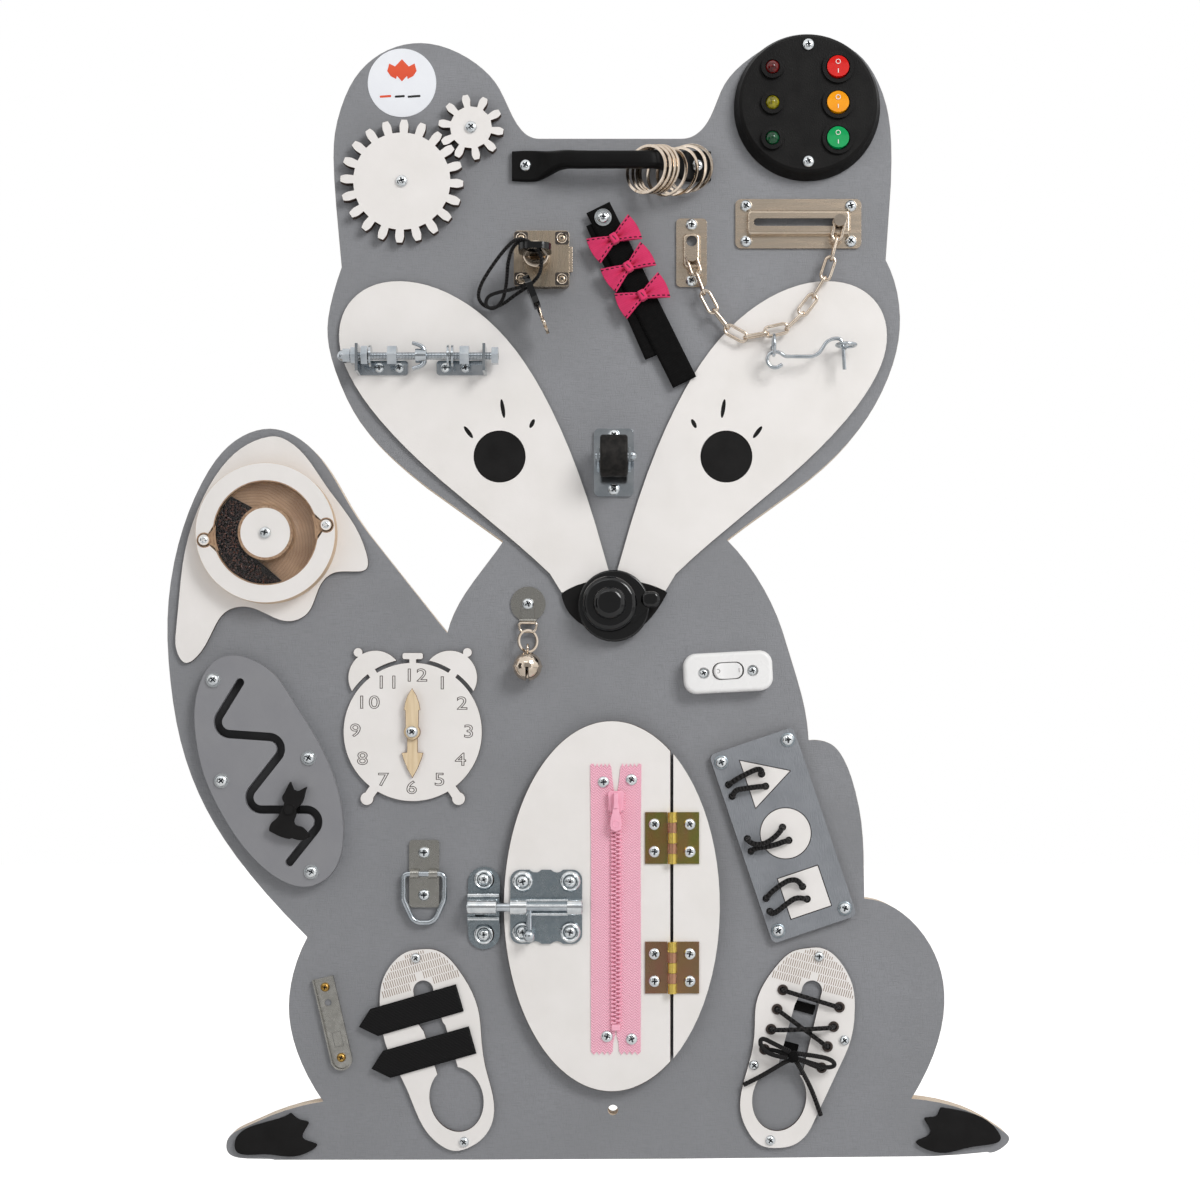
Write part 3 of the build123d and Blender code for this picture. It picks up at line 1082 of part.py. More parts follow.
# ------------------------------------------------------------------ door, hinges, zip and barrel bolt
def door():
    oval = Pos(*door_at) * Ellipse(door_half_width, door_half_height)
    leaf = oval & (Pos(hinge_line - door_gap / 2 - 100, door_at[1]) * Rectangle(200, 300))
    keep("door_panel", sheet(leaf, face + play, door_thickness))

    pin_z = door_top + hinge_knuckle + 0.1
    fixed, moving = [], []
    for y in (190.8, 100.7):
        third = hinge_length / 5
        knuckles = []
        for index in range(5):
            low = y - hinge_length / 2 + index * third + 0.15
            barrel = bar((hinge_line, low, pin_z), (hinge_line, low + third - 0.3, pin_z), hinge_knuckle)
            knuckles.append(barrel - bar((hinge_line, low - 9, pin_z), (hinge_line, low + 20, pin_z),
                                         1.5 + running))
        pin = bar((hinge_line, y - hinge_length / 2, pin_z), (hinge_line, y + hinge_length / 2, pin_z), 1.5)
        for side, store, own in ((1, fixed, (0, 2, 4)), (-1, moving, (1, 3))):
            leaf_x = hinge_line + side * (1.2 + hinge_leaf_width / 2)
            leaf_plate = slab(leaf_x, y, door_top, hinge_leaf_width, hinge_length, hinge_leaf)
            for index in (set(range(5)) - set(own)):
                low = y - hinge_length / 2 + index * third
                leaf_plate -= slab(hinge_line, low + third / 2, door_top - 1, 2 * hinge_knuckle + 0.6,
                                   third + 0.2, 9)
            leaf_plate -= bar((hinge_line, y - 40, pin_z), (hinge_line, y + 40, pin_z), 1.5 + running)
            for row in (-9.5, 9.5):
                spot = (hinge_line + side * 12.2, y + row)
                leaf_plate -= screw_hole(*spot, door_top, hinge_leaf)
                screws = board_screws if side > 0 else door_screws
                screws.append(short_screw(*spot, door_top + hinge_leaf))
            store.append(leaf_plate + [knuckles[index] for index in own])
        fixed.append(pin)
    keep("hinge_frame_leaves", *fixed)
    keep("hinge_door_leaves", *moving)


def short_screw(x, y, z, head=pan_head_radius, depth=7.0):
    """A short pan-head screw for the 8 mm door."""
    return disc(x, y, z, head, 2.0) + disc(x, y, z - depth, screw_shank, depth)


def zip_fastener():
    x, y = zip_at
    tape = slab(x, y, door_top, zip_width, zip_length, zip_tape)
    teeth = slab(x, y + 1.35, door_top + zip_tape, zip_teeth_width, zip_teeth_length, zip_teeth_height)
    stop = slab(x, y - 81.3, door_top + zip_tape, 6, 4.5, zip_teeth_height + 0.6)
    for spot in around(zip_at, [(-8.6, 88.2), (10.8, 89.8), (-6.2, -88.7), (10.9, -90.5)]):
        tape -= screw_hole(*spot, door_top, zip_tape)
        door_screws.append(short_screw(*spot, door_top + zip_tape))
    keep("zip_tape", tape, teeth, stop)

    slider_y = y + 75.0
    top = door_top + zip_tape + zip_teeth_height + play
    slider = slab(x, slider_y, top, 11.4, 15, 2.2, 3)
    for side in (-1, 1):
        slider += slab(x + side * 4.9, slider_y, door_top + zip_tape + play, 1.6, 13, top - door_top)
    slider += slab(x, slider_y + 1, top + 1.5, 3, 8, 3.4)
    slider += slab(x, slider_y - 10.5, top + 2.4, 7.4, 20, 1.8, 3) - slab(x, slider_y - 16.5, top, 3, 6, 9, 1)
    keep("zip_slider", slider)


def bolt_axis():
    """Where the barrel bolt's rod runs: y and height."""
    return 143.0, door_top + bolt_plate_thickness + bolt_rod_radius + 0.4


def tunnel(left, right, y, low, z, radius, wall):
    """A raised half-round housing over a rod along X, open at both ends."""
    outside = bar((left, y, z), (right, y, z), radius + wall)
    outside += slab((left + right) / 2, y, low, right - left, 2 * (radius + wall), z - low)
    return outside - bar((left - 1, y, z), (right + 1, y, z), radius)


def keeper_housing(left, right, y, low, z, inside, wall):
    """A raised square housing over a rod along X, open at both ends, its top edges rounded."""
    outside = slab((left + right) / 2, y, low, right - left, 2 * (inside + wall), z + inside + wall - low)
    outside = fillet(outside.edges().filter_by(Axis.X).group_by(Axis.Z)[-1], 2.2)
    return outside - slab((left + right) / 2, y, z - inside, right - left + 2, 2 * inside, 2 * inside)


def barrel_bolt():
    y, z = bolt_axis()
    left = -90.2
    base = slab(left, y - 1.5, face, 22.4, 57.5, z - bolt_rod_radius - 1 - face, 11)
    base += keeper_housing(left - 5, left + 9, y, face + 4, z, bolt_rod_radius + keeper_play, keeper_wall)
    base -= slab(left, y + 20, face + bolt_plate_thickness, 40, 22, 30)
    base -= slab(left, y - 23.4, face + bolt_plate_thickness, 40, 22, 30)
    for spot in ((left, y + 18.4), (left, y - 20.0)):
        base -= screw_hole(*spot, face, bolt_plate_thickness)
        board_screws.append(pan_screw(*spot, face + bolt_plate_thickness, bolt_plate_thickness))
    keep("bolt_keeper", base)

    middle, width = -46.4, 50.0
    plate = slab(middle, y, door_top, width, 51.5, bolt_plate_thickness, 7)
    for spot in around((middle, y), [(-7.5, 29.4), (7.5, 29.4), (-7.5, -29.4), (7.5, -29.4)]):
        plate -= disc(*spot, door_top - 1, 5.5, 9)
    housing = tunnel(middle - width / 2, middle + width / 2, y, door_top, z, bolt_rod_radius + 0.1, 1.6)
    housing -= slab(-49.75, y - 4, z - 2.4, 35.5, 11, 20)
    plate += housing
    plate -= bar((middle - 40, y, z), (middle + 40, y, z), bolt_rod_radius + 0.1)
    for spot in around((middle, y), [(-16.4, 17.5), (16.6, 17.5), (-16.4, -17.6), (16.6, -17.6)]):
        plate -= screw_hole(*spot, door_top, bolt_plate_thickness)
        door_screws.append(short_screw(*spot, door_top + bolt_plate_thickness, depth=7.5))
    keep("bolt_plate", plate)

    tip = left + 9 + 0.5
    rod = bar((tip, y, z), (-21.0, y, z), bolt_rod_radius)
    rod += bar((-58.0, y, z), (-58.0, y - 17.5, z + 4.0), 2.1)
    rod += Pos(-58.0, y - 19.5, z + 4.5) * Sphere(4.4)
    keep("bolt_rod", rod)


# ------------------------------------------------------------------ build and export
os.makedirs("parts", exist_ok=True)
for build in (board, white_overlays, black_overlays, gears, pull_handle, split_rings, light_box, lamp_rockers,
              battery_pack, drawer_lock, spare_key, key_cord, bow_strap, ribbon_bows, chain_plates,
              chain_stud, chain_links, screw_eyes, cabin_hook, rod_and_brackets, wing_nut, caster, bell,
              seed_wheel, maze, clock, steel_plates, ring_loop, jingle_bell, cord_switch, lacing,
              lacing_cords, shoe_straps, shoe_lace, door, zip_fastener, barrel_bolt):
    build()
keep("board_screws", *board_screws)
keep("door_screws", *door_screws)
stand_up = Rot(90, 0, 0)
for node, solids in nodes.items():
    export_step(Compound([stand_up * solid for solid in solids]), f"parts/{node}.step")
print(len(nodes), "nodes")
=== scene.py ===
"""Looks of the wooden busy board: finishes for its fittings and the fine detail that sits on them.

New pieces are shaped with the board lying face up, in millimetres: X to the right, Y up the board and
Z out of its face. STAND turns them into the frame's metres, where the face looks along -Y.
"""
import json
import math
import random

import bmesh
import bpy
from mathutils import Matrix, Vector


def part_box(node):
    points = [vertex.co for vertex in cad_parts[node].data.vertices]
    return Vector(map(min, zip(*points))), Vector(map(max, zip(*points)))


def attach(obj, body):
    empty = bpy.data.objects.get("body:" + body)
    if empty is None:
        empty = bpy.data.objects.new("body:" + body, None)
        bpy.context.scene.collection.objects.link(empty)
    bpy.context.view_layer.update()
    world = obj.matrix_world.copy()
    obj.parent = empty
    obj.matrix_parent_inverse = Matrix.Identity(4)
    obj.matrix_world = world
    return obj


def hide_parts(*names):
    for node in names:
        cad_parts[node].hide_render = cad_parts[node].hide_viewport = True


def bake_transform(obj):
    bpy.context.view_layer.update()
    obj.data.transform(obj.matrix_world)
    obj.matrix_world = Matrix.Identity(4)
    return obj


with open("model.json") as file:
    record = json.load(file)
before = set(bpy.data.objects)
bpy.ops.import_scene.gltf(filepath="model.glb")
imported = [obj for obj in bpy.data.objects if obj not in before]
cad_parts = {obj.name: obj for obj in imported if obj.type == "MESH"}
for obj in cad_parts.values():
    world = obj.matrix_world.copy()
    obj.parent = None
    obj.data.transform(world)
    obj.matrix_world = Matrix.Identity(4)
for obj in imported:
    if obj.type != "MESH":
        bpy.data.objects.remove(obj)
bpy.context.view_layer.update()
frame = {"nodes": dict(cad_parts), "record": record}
nodes = frame["nodes"]
scene = bpy.context.scene
random.seed(11)

STAND = Matrix.Rotation(math.radians(90), 4, "X") @ Matrix.Scale(0.001, 4)
LIE = STAND.inverted()

# heights above the board's back, in millimetres
FACE = 18.0
OVERLAY_TOP = 21.0
DOOR_TOP = 26.3

# the square view: its side in picture elements, one element at the board's face in millimetres, the column
# of the board's middle, and a row with its height on the board
VIEW_SIDE, ELEMENT = 1200, 0.7
MIDDLE_COLUMN, LEVEL_ROW, LEVEL = 613, 825, 199.5


# ------------------------------------------------------------------ shader helpers
def srgb(red, green, blue):
    """A colour named by its 0-255 screen values, as linear RGBA."""
    def linear(value):
        value /= 255
        return value / 12.92 if value <= 0.04045 else ((value + 0.055) / 1.055) ** 2.4
    return (linear(red), linear(green), linear(blue), 1.0)


def add_node(tree, kind, inputs=None, **settings):
    """Adds a shader node; an input given as a socket is linked, any other is set."""
    made = tree.nodes.new(kind)
    for key, value in settings.items():
        setattr(made, key, value)
    for key, value in (inputs or {}).items():
        if isinstance(value, bpy.types.NodeSocket):
            tree.links.new(value, made.inputs[key])
        else:
            made.inputs[key].default_value = value
    return made


def math_node(tree, operation, first, second=0.0, third=0.0):
    made = add_node(tree, "ShaderNodeMath", {0: first, 1: second, 2: third}, operation=operation)
    return made.outputs[0]


def new_group(name, inputs):
    """A shader group with named inputs and one output, Value."""
    tree = bpy.data.node_groups.new(name, "ShaderNodeTree")
    for label, default in inputs.items():
        kind = "NodeSocketVector" if isinstance(default, tuple) else "NodeSocketFloat"
        socket = tree.interface.new_socket(label, in_out="INPUT", socket_type=kind)
        socket.default_value = default
    tree.interface.new_socket("Value", in_out="OUTPUT", socket_type="NodeSocketFloat")
    return tree, tree.nodes.new("NodeGroupInput"), tree.nodes.new("NodeGroupOutput")


def speckle_group():
    """Noise of any grain size along each axis, with its contrast set by Low and High."""
    tree, given, result = new_group("speckle", {"Scale": (50.0, 50.0, 50.0), "Low": 0.35, "High": 0.65})
    place = add_node(tree, "ShaderNodeTexCoord").outputs["Object"]
    scaled = add_node(tree, "ShaderNodeVectorMath", {0: place, 1: given.outputs["Scale"]}, operation="MULTIPLY")
    noise = add_node(tree, "ShaderNodeTexNoise", {"Vector": scaled.outputs[0], "Scale": 1.0, "Detail": 3.0})
    spread = add_node(tree, "ShaderNodeMapRange", {"Value": noise.outputs[0], "From Min": given.outputs["Low"],
                                                   "From Max": given.outputs["High"]})
    tree.links.new(spread.outputs[0], result.inputs[0])
    return tree


def sawn_group():
    """1 on sawn edges, 0 on the flat front and back."""
    tree, _, result = new_group("sawn edge", {})
    normal = add_node(tree, "ShaderNodeTexCoord").outputs["Normal"]
    facing = add_node(tree, "ShaderNodeSeparateXYZ", {0: normal}).outputs["Y"]
    flat = math_node(tree, "ABSOLUTE", facing)
    tree.links.new(math_node(tree, "LESS_THAN", flat, 0.985), result.inputs[0])
    return tree


def ply_group():
    """Thin dark glue lines between the plies, by depth."""
    tree, given, result = new_group("plies", {"Pitch": 0.0014})
    place = add_node(tree, "ShaderNodeTexCoord").outputs["Object"]
    depth = add_node(tree, "ShaderNodeSeparateXYZ", {0: place}).outputs["Y"]
    turns = math_node(tree, "DIVIDE", depth, given.outputs["Pitch"])
    wave = math_node(tree, "PINGPONG", turns, 1.0)
    tree.links.new(math_node(tree, "LESS_THAN", wave, 0.45), result.inputs[0])
    return tree


def chevron_group():
    """Herringbone ribs either side of a centre line, by height and distance from the line."""
    tree, given, result = new_group("chevron", {"Centre": 0.0, "Pitch": 0.0016, "Fold": 0.003})
    place = add_node(tree, "ShaderNodeTexCoord").outputs["Object"]
    split = add_node(tree, "ShaderNodeSeparateXYZ", {0: place})
    across = math_node(tree, "SUBTRACT", split.outputs["X"], given.outputs["Centre"])
    zigzag = math_node(tree, "PINGPONG", across, given.outputs["Fold"])
    along = math_node(tree, "ADD", split.outputs["Z"], zigzag)
    turns = math_node(tree, "DIVIDE", along, given.outputs["Pitch"])
    wave = math_node(tree, "SINE", math_node(tree, "MULTIPLY", turns, 2 * math.pi))
    half = math_node(tree, "MULTIPLY_ADD", wave, 0.5, 0.5)
    tree.links.new(half, result.inputs[0])
    return tree


def braid_group():
    """Crossed strands round a cord, from its own UV map."""
    tree, given, result = new_group("braid", {"Along": 60.0, "Round": 3.0})
    place = add_node(tree, "ShaderNodeTexCoord").outputs["UV"]
    split = add_node(tree, "ShaderNodeSeparateXYZ", {0: place})
    along = math_node(tree, "MULTIPLY", split.outputs["X"], given.outputs["Along"])
    turn = math_node(tree, "MULTIPLY", split.outputs["Y"], given.outputs["Round"])
    waves = []
    for operation in ("ADD", "SUBTRACT"):
        total = math_node(tree, operation, along, turn)
        waves.append(math_node(tree, "SINE", math_node(tree, "MULTIPLY", total, 2 * math.pi)))
    high = math_node(tree, "MAXIMUM", *waves)
    tree.links.new(high, result.inputs[0])
    return tree


def grid_group():
    """Plain weave over a flat cloth, from object coordinates turned with Mapping."""
    tree, given, result = new_group("weave", {"Turn": (0.0, 0.0, 0.0), "Scale": (5000.0, 5000.0, 5000.0)})
    place = add_node(tree, "ShaderNodeTexCoord").outputs["Object"]
    turned_place = add_node(tree, "ShaderNodeMapping", {"Vector": place, "Rotation": given.outputs["Turn"],
                                                        "Scale": given.outputs["Scale"]}).outputs[0]
    split = add_node(tree, "ShaderNodeSeparateXYZ", {0: turned_place})
    first = math_node(tree, "SINE", split.outputs["X"])
    second = math_node(tree, "SINE", split.outputs["Z"])
    product = math_node(tree, "MULTIPLY", first, second)
    tree.links.new(math_node(tree, "MULTIPLY_ADD", product, 0.5, 0.5), result.inputs[0])
    return tree


SPECKLE, SAWN, PLIES = speckle_group(), sawn_group(), ply_group()
CHEVRON, BRAID, WEAVE = chevron_group(), braid_group(), grid_group()


def pattern(tree, group, **inputs):
    made = add_node(tree, "ShaderNodeGroup", node_tree=group)
    for key, value in inputs.items():
        made.inputs[key].default_value = value
    return made.outputs["Value"]


def mix(tree, share, first, second):
    made = add_node(tree, "ShaderNodeMix", data_type="RGBA")
    for socket, value in ((made.inputs[0], share), (made.inputs[6], first), (made.inputs[7], second)):
        if isinstance(value, bpy.types.NodeSocket):
            tree.links.new(value, socket)
        else:
            socket.default_value = value
    return made.outputs[2]


def spread(tree, value, low, high):
    return add_node(tree, "ShaderNodeMapRange", {"Value": value, "To Min": low, "To Max": high}).outputs[0]


def finish(name, colour, second, rough, patches=((40, 40, 40), 0.35, 0.65), bump=None, metallic=0.0,
           edge=None, **sockets):
    """A material whose colour and roughness vary together in patches, with a fine bump over them.

    patches is (scale, low, high) of the speckle; bump is (speckle scale, strength, depth in metres), or
    (a function of the tree giving a value, strength, depth)."""
    made = bpy.data.materials.new(name)
    made.use_nodes = True
    tree = made.node_tree
    shader = tree.nodes["Principled BSDF"]
    mask = pattern(tree, SPECKLE, Scale=patches[0], Low=patches[1], High=patches[2])
    paint = mix(tree, mask, colour, second)
    if edge:
        paint = mix(tree, pattern(tree, SAWN), paint, edge)
    tree.links.new(paint, shader.inputs["Base Color"])
    tree.links.new(spread(tree, mask, *rough), shader.inputs["Roughness"])
    shader.inputs["Metallic"].default_value = metallic
    if bump:
        relief, strength, depth = bump
        height = relief(tree) if callable(relief) else pattern(tree, SPECKLE, Scale=relief, Low=0.2, High=0.8)
        bent = add_node(tree, "ShaderNodeBump", {"Height": height, "Strength": strength, "Distance": depth})
        tree.links.new(bent.outputs[0], shader.inputs["Normal"])
    for key, value in sockets.items():
        shader.inputs[key.replace("_", " ")].default_value = value
    return made


# ------------------------------------------------------------------ finishes
WHITE_FACE, WHITE_SHADE = srgb(236, 232, 229), srgb(230, 226, 222)
BURNT, BARE_EDGE = srgb(62, 44, 33), srgb(206, 180, 152)
BIRCH, BIRCH_DARK = srgb(226, 208, 184), srgb(205, 180, 148)
white_paint = finish("white paint", WHITE_FACE, WHITE_SHADE, (0.55, 0.7), ((30, 30, 30), 0.3, 0.7),
                     ((900, 900, 900), 0.12, 0.0002), edge=BURNT)
wheel_paint = finish("white wheel paint", WHITE_FACE, WHITE_SHADE, (0.55, 0.7), ((30, 30, 30), 0.3, 0.7),
                     ((900, 900, 900), 0.12, 0.0002), edge=BARE_EDGE)
black_paint = finish("black paint", srgb(25, 24, 24), srgb(20, 19, 19), (0.6, 0.75), ((60, 60, 60), 0.3, 0.7),
                     ((1200, 1200, 1200), 0.2, 0.0002), Specular_IOR_Level=0.15)
panel_paint = finish("grey panel paint", srgb(137, 137, 140), srgb(131, 131, 135), (0.5, 0.65),
                     ((35, 35, 35), 0.3, 0.7), ((900, 900, 500), 0.2, 0.0002))


def panel_grain(tree):
    """Short strokes of open grain along the leaning lacing panel."""
    place = add_node(tree, "ShaderNodeTexCoord").outputs["Object"]
    turned = add_node(tree, "ShaderNodeMapping", {"Vector": place, "Rotation": (0.0, math.radians(-18.7), 0.0),
                                                  "Scale": (1700.0, 1.0, 230.0)})
    noise = add_node(tree, "ShaderNodeTexNoise", {"Vector": turned.outputs[0], "Scale": 1.0, "Detail": 2.0})
    return spread(tree, add_node(tree, "ShaderNodeMapRange", {"Value": noise.outputs[0], "From Min": 0.35,
                                                             "From Max": 0.62}).outputs[0], 0.0, 1.0)


lacing_paint = finish("grey lacing paint", srgb(136, 139, 144), srgb(130, 133, 138), (0.5, 0.65),
                      ((60, 60, 60), 0.35, 0.65), (panel_grain, 0.6, 0.0004), edge=BURNT)
bare_ply = finish("bare thin ply", srgb(226, 205, 172), srgb(212, 188, 150), (0.55, 0.7),
                  ((500, 500, 30), 0.35, 0.65), ((1500, 1500, 100), 0.2, 0.0002), edge=srgb(120, 84, 52))
grained_black = finish("grained black plastic", srgb(10, 9, 9), srgb(7, 7, 7), (0.36, 0.46),
                       ((80, 80, 80), 0.3, 0.7), ((1600, 1600, 1600), 0.2, 0.0002), Specular_IOR_Level=0.12)
matt_black = finish("matt black plastic", srgb(16, 15, 14), srgb(11, 10, 10), (0.45, 0.6),
                    ((80, 80, 80), 0.3, 0.7), ((1100, 1100, 1100), 0.5, 0.0003), Specular_IOR_Level=0.14)
gloss_black = finish("gloss black plastic", srgb(9, 9, 10), srgb(6, 6, 7), (0.08, 0.14),
                     ((90, 90, 90), 0.3, 0.7), ((500, 500, 500), 0.06, 0.0002))
rubber = finish("black tread", srgb(36, 33, 31), srgb(22, 21, 20), (0.55, 0.75), ((260, 260, 260), 0.35, 0.65),
                ((1300, 1300, 1300), 0.4, 0.0003), Specular_IOR_Level=0.2)
white_plastic = finish("white plastic", srgb(240, 239, 238), srgb(235, 234, 233), (0.25, 0.35),
                       ((50, 50, 50), 0.3, 0.7), ((700, 700, 700), 0.05, 0.0002))
nickel = finish("brushed warm nickel", srgb(214, 199, 180), srgb(192, 175, 156), (0.2, 0.28),
                ((40, 40, 500), 0.35, 0.65), ((90, 90, 2500), 0.05, 0.0001), metallic=1.0)
lock_nickel = finish("dark nickel", srgb(190, 175, 155), srgb(164, 148, 129), (0.22, 0.34),
                     ((500, 500, 30), 0.35, 0.65), ((2500, 90, 90), 0.06, 0.0001), metallic=1.0)
bright_nickel = finish("bright warm nickel", srgb(226, 212, 196), srgb(204, 188, 170), (0.1, 0.16),
                       ((120, 120, 120), 0.35, 0.65), ((300, 300, 300), 0.02, 0.0001), metallic=1.0)
zinc = finish("bright zinc", srgb(196, 201, 205), srgb(170, 177, 183), (0.1, 0.18),
              ((90, 90, 90), 0.35, 0.65), ((500, 500, 500), 0.02, 0.0001), metallic=1.0)
plate_zinc = finish("tarnished plate zinc", srgb(176, 174, 168), srgb(158, 156, 150), (0.22, 0.32),
                    ((160, 160, 160), 0.35, 0.65), ((600, 600, 600), 0.03, 0.0001), metallic=1.0)
dull_zinc = finish("passivated zinc", srgb(148, 157, 162), srgb(132, 142, 148), (0.24, 0.32),
                   ((300, 300, 300), 0.35, 0.65), ((900, 900, 900), 0.05, 0.0002), metallic=0.95)
screw_zinc = finish("bright screw zinc", srgb(228, 231, 232), srgb(206, 211, 214), (0.12, 0.2),
                    ((150, 150, 150), 0.35, 0.65), ((600, 600, 600), 0.03, 0.0001), metallic=1.0)
# painted shade: the cross recess of every screw head is coloured dark for the shade that falls in it
screw_recess_shade = finish("painted shade in screw recess", srgb(70, 75, 80), srgb(40, 43, 48), (0.3, 0.5), ((900, 900, 900), 0.3, 0.7),
                     metallic=0.8)
# painted shade: the dark sheets in the lock's sunk corners stand for the shade that falls in them
sunk_corner_shade = finish("painted shade in sunk corner", srgb(58, 48, 40), srgb(40, 34, 29), (0.5, 0.65), ((400, 400, 400), 0.3, 0.7))
brass = finish("brass screw", srgb(208, 172, 98), srgb(170, 132, 70), (0.2, 0.35), ((200, 200, 200), 0.35, 0.65),
               metallic=1.0)
red_rocker = finish("red rocker", srgb(216, 26, 18), srgb(204, 20, 15), (0.12, 0.2), ((90, 90, 90), 0.3, 0.7),
                    Coat_Weight=0.15, Specular_IOR_Level=0.3)
amber_rocker = finish("amber rocker", srgb(244, 160, 4), srgb(236, 148, 3), (0.12, 0.2),
                      ((90, 90, 90), 0.3, 0.7), Coat_Weight=0.15, Specular_IOR_Level=0.3)
green_rocker = finish("green rocker", srgb(6, 160, 88), srgb(4, 148, 78), (0.12, 0.2),
                      ((90, 90, 90), 0.3, 0.7), Coat_Weight=0.15, Specular_IOR_Level=0.3)
mark_white = finish("white print", srgb(236, 232, 228), srgb(228, 224, 220), (0.4, 0.5))
digit_brown = finish("burnt line", srgb(62, 48, 42), srgb(42, 32, 28), (0.6, 0.7), ((600, 600, 600), 0.35, 0.65))
groove_dark = finish("dark groove", srgb(52, 52, 54), srgb(44, 44, 46), (0.6, 0.7))
cell_wrap = finish("battery wrap", srgb(40, 60, 52), srgb(28, 44, 40), (0.25, 0.35), ((60, 60, 60), 0.3, 0.7))


def canvas_lines(tree):
    """Fine broken lines of the veneer that show through the paint, mostly across the board."""
    across = pattern(tree, SPECKLE, Scale=(110.0, 110.0, 2400.0), Low=0.3, High=0.52)
    upward = pattern(tree, SPECKLE, Scale=(2400.0, 2400.0, 240.0), Low=0.28, High=0.5)
    return math_node(tree, "MULTIPLY", across, upward)


def board_finish():
    """Grey paint on the front, birch veneer behind, and the bare plies round the sawn edge."""
    made = finish("grey board paint", srgb(139, 140, 144), srgb(132, 133, 136), (0.5, 0.64),
                  ((14, 14, 14), 0.3, 0.7), (canvas_lines, 0.45, 0.0003))
    tree = made.node_tree
    shader = tree.nodes["Principled BSDF"]
    paint = mix(tree, canvas_lines(tree), srgb(128, 129, 132), shader.inputs["Base Color"].links[0].from_socket)
    normal = add_node(tree, "ShaderNodeTexCoord").outputs["Normal"]
    facing = add_node(tree, "ShaderNodeSeparateXYZ", {0: normal}).outputs["Y"]
    grain = pattern(tree, SPECKLE, Scale=(160.0, 160.0, 6.0), Low=0.3, High=0.7)
    veneer = mix(tree, grain, BIRCH, BIRCH_DARK)
    plies = mix(tree, pattern(tree, PLIES), srgb(232, 219, 202), srgb(203, 178, 148))
    bare = mix(tree, math_node(tree, "GREATER_THAN", facing, 0.7), plies, veneer)
    painted = math_node(tree, "LESS_THAN", facing, -0.7)
    tree.links.new(mix(tree, painted, bare, paint), shader.inputs["Base Color"])
    return made


HINGE_PIN_X, KNUCKLE_REACH, BETWEEN_HINGES = 0.0411, 0.0034, 0.145


def yellow_zinc_finish(name, leaf_colour, knuckle):
    """Iridescent passivation: olive, rose and green patches, rosier on the lower hinge, with the rolled
    knuckles in one colour."""
    made = finish(name, leaf_colour, srgb(150, 108, 84), (0.2, 0.3), ((34, 34, 34), 0.28, 0.72),
                  ((400, 400, 400), 0.04, 0.0001), metallic=0.9)
    tree = made.node_tree
    shader = tree.nodes["Principled BSDF"]
    first = shader.inputs["Base Color"].links[0].from_socket
    green = pattern(tree, SPECKLE, Scale=(60.0, 60.0, 50.0), Low=0.42, High=0.74)
    leaf = mix(tree, green, first, srgb(120, 136, 66))
    height = add_node(tree, "ShaderNodeSeparateXYZ", {0: add_node(tree, "ShaderNodeTexCoord").outputs["Object"]})
    lower = math_node(tree, "LESS_THAN", height.outputs["Z"], BETWEEN_HINGES)
    leaf = mix(tree, math_node(tree, "MULTIPLY", lower, 0.6), leaf, srgb(140, 98, 92))
    place = add_node(tree, "ShaderNodeTexCoord").outputs["Object"]
    column = add_node(tree, "ShaderNodeSeparateXYZ", {0: place}).outputs["X"]
    rolled = math_node(tree, "COMPARE", column, HINGE_PIN_X, KNUCKLE_REACH)
    tree.links.new(mix(tree, rolled, leaf, knuckle), shader.inputs["Base Color"])
    return made


HEARTWOOD = (-0.252, 0.0, 0.396)
RING_PITCH = 0.0021


def walnut_finish():
    """Turned hardwood: fine growth rings about a heart a little off the wheel's hub."""
    made = finish("turned walnut", srgb(178, 146, 116), srgb(150, 118, 90), (0.4, 0.55),
                  ((60, 60, 60), 0.3, 0.7))
    tree = made.node_tree
    shader = tree.nodes["Principled BSDF"]
    base = shader.inputs["Base Color"].links[0].from_socket
    place = add_node(tree, "ShaderNodeTexCoord").outputs["Object"]
    centred = add_node(tree, "ShaderNodeMapping", {"Vector": place,
                                                   "Location": tuple(-reach for reach in HEARTWOOD)}).outputs[0]
    split = add_node(tree, "ShaderNodeSeparateXYZ", {0: centred})
    flat = add_node(tree, "ShaderNodeCombineXYZ", {"X": split.outputs["X"], "Z": split.outputs["Z"]}).outputs[0]
    radius = add_node(tree, "ShaderNodeVectorMath", {0: flat}, operation="LENGTH").outputs["Value"]
    wobble = pattern(tree, SPECKLE, Scale=(45.0, 45.0, 45.0), Low=0.0, High=1.0)
    bent = math_node(tree, "MULTIPLY_ADD", wobble, 0.006, radius)
    wave = math_node(tree, "SINE", math_node(tree, "MULTIPLY", bent, 2 * math.pi / RING_PITCH))
    line = spread(tree, wave, -0.3, 1.0)
    tree.links.new(mix(tree, math_node(tree, "MULTIPLY", line, 0.45), base, srgb(122, 92, 68)),
                   shader.inputs["Base Color"])
    return made


def clear_finish(name, tint, roughness):
    made = bpy.data.materials.new(name)
    made.use_nodes = True
    tree = made.node_tree
    shader = tree.nodes["Principled BSDF"]
    shader.inputs["Base Color"].default_value = tint
    shader.inputs["Transmission Weight"].default_value = 1.0
    shader.inputs["IOR"].default_value = 1.2
    smear = pattern(tree, SPECKLE, Scale=(60.0, 60.0, 60.0), Low=0.3, High=0.7)
    tree.links.new(spread(tree, smear, roughness, roughness * 2), shader.inputs["Roughness"])
    return made


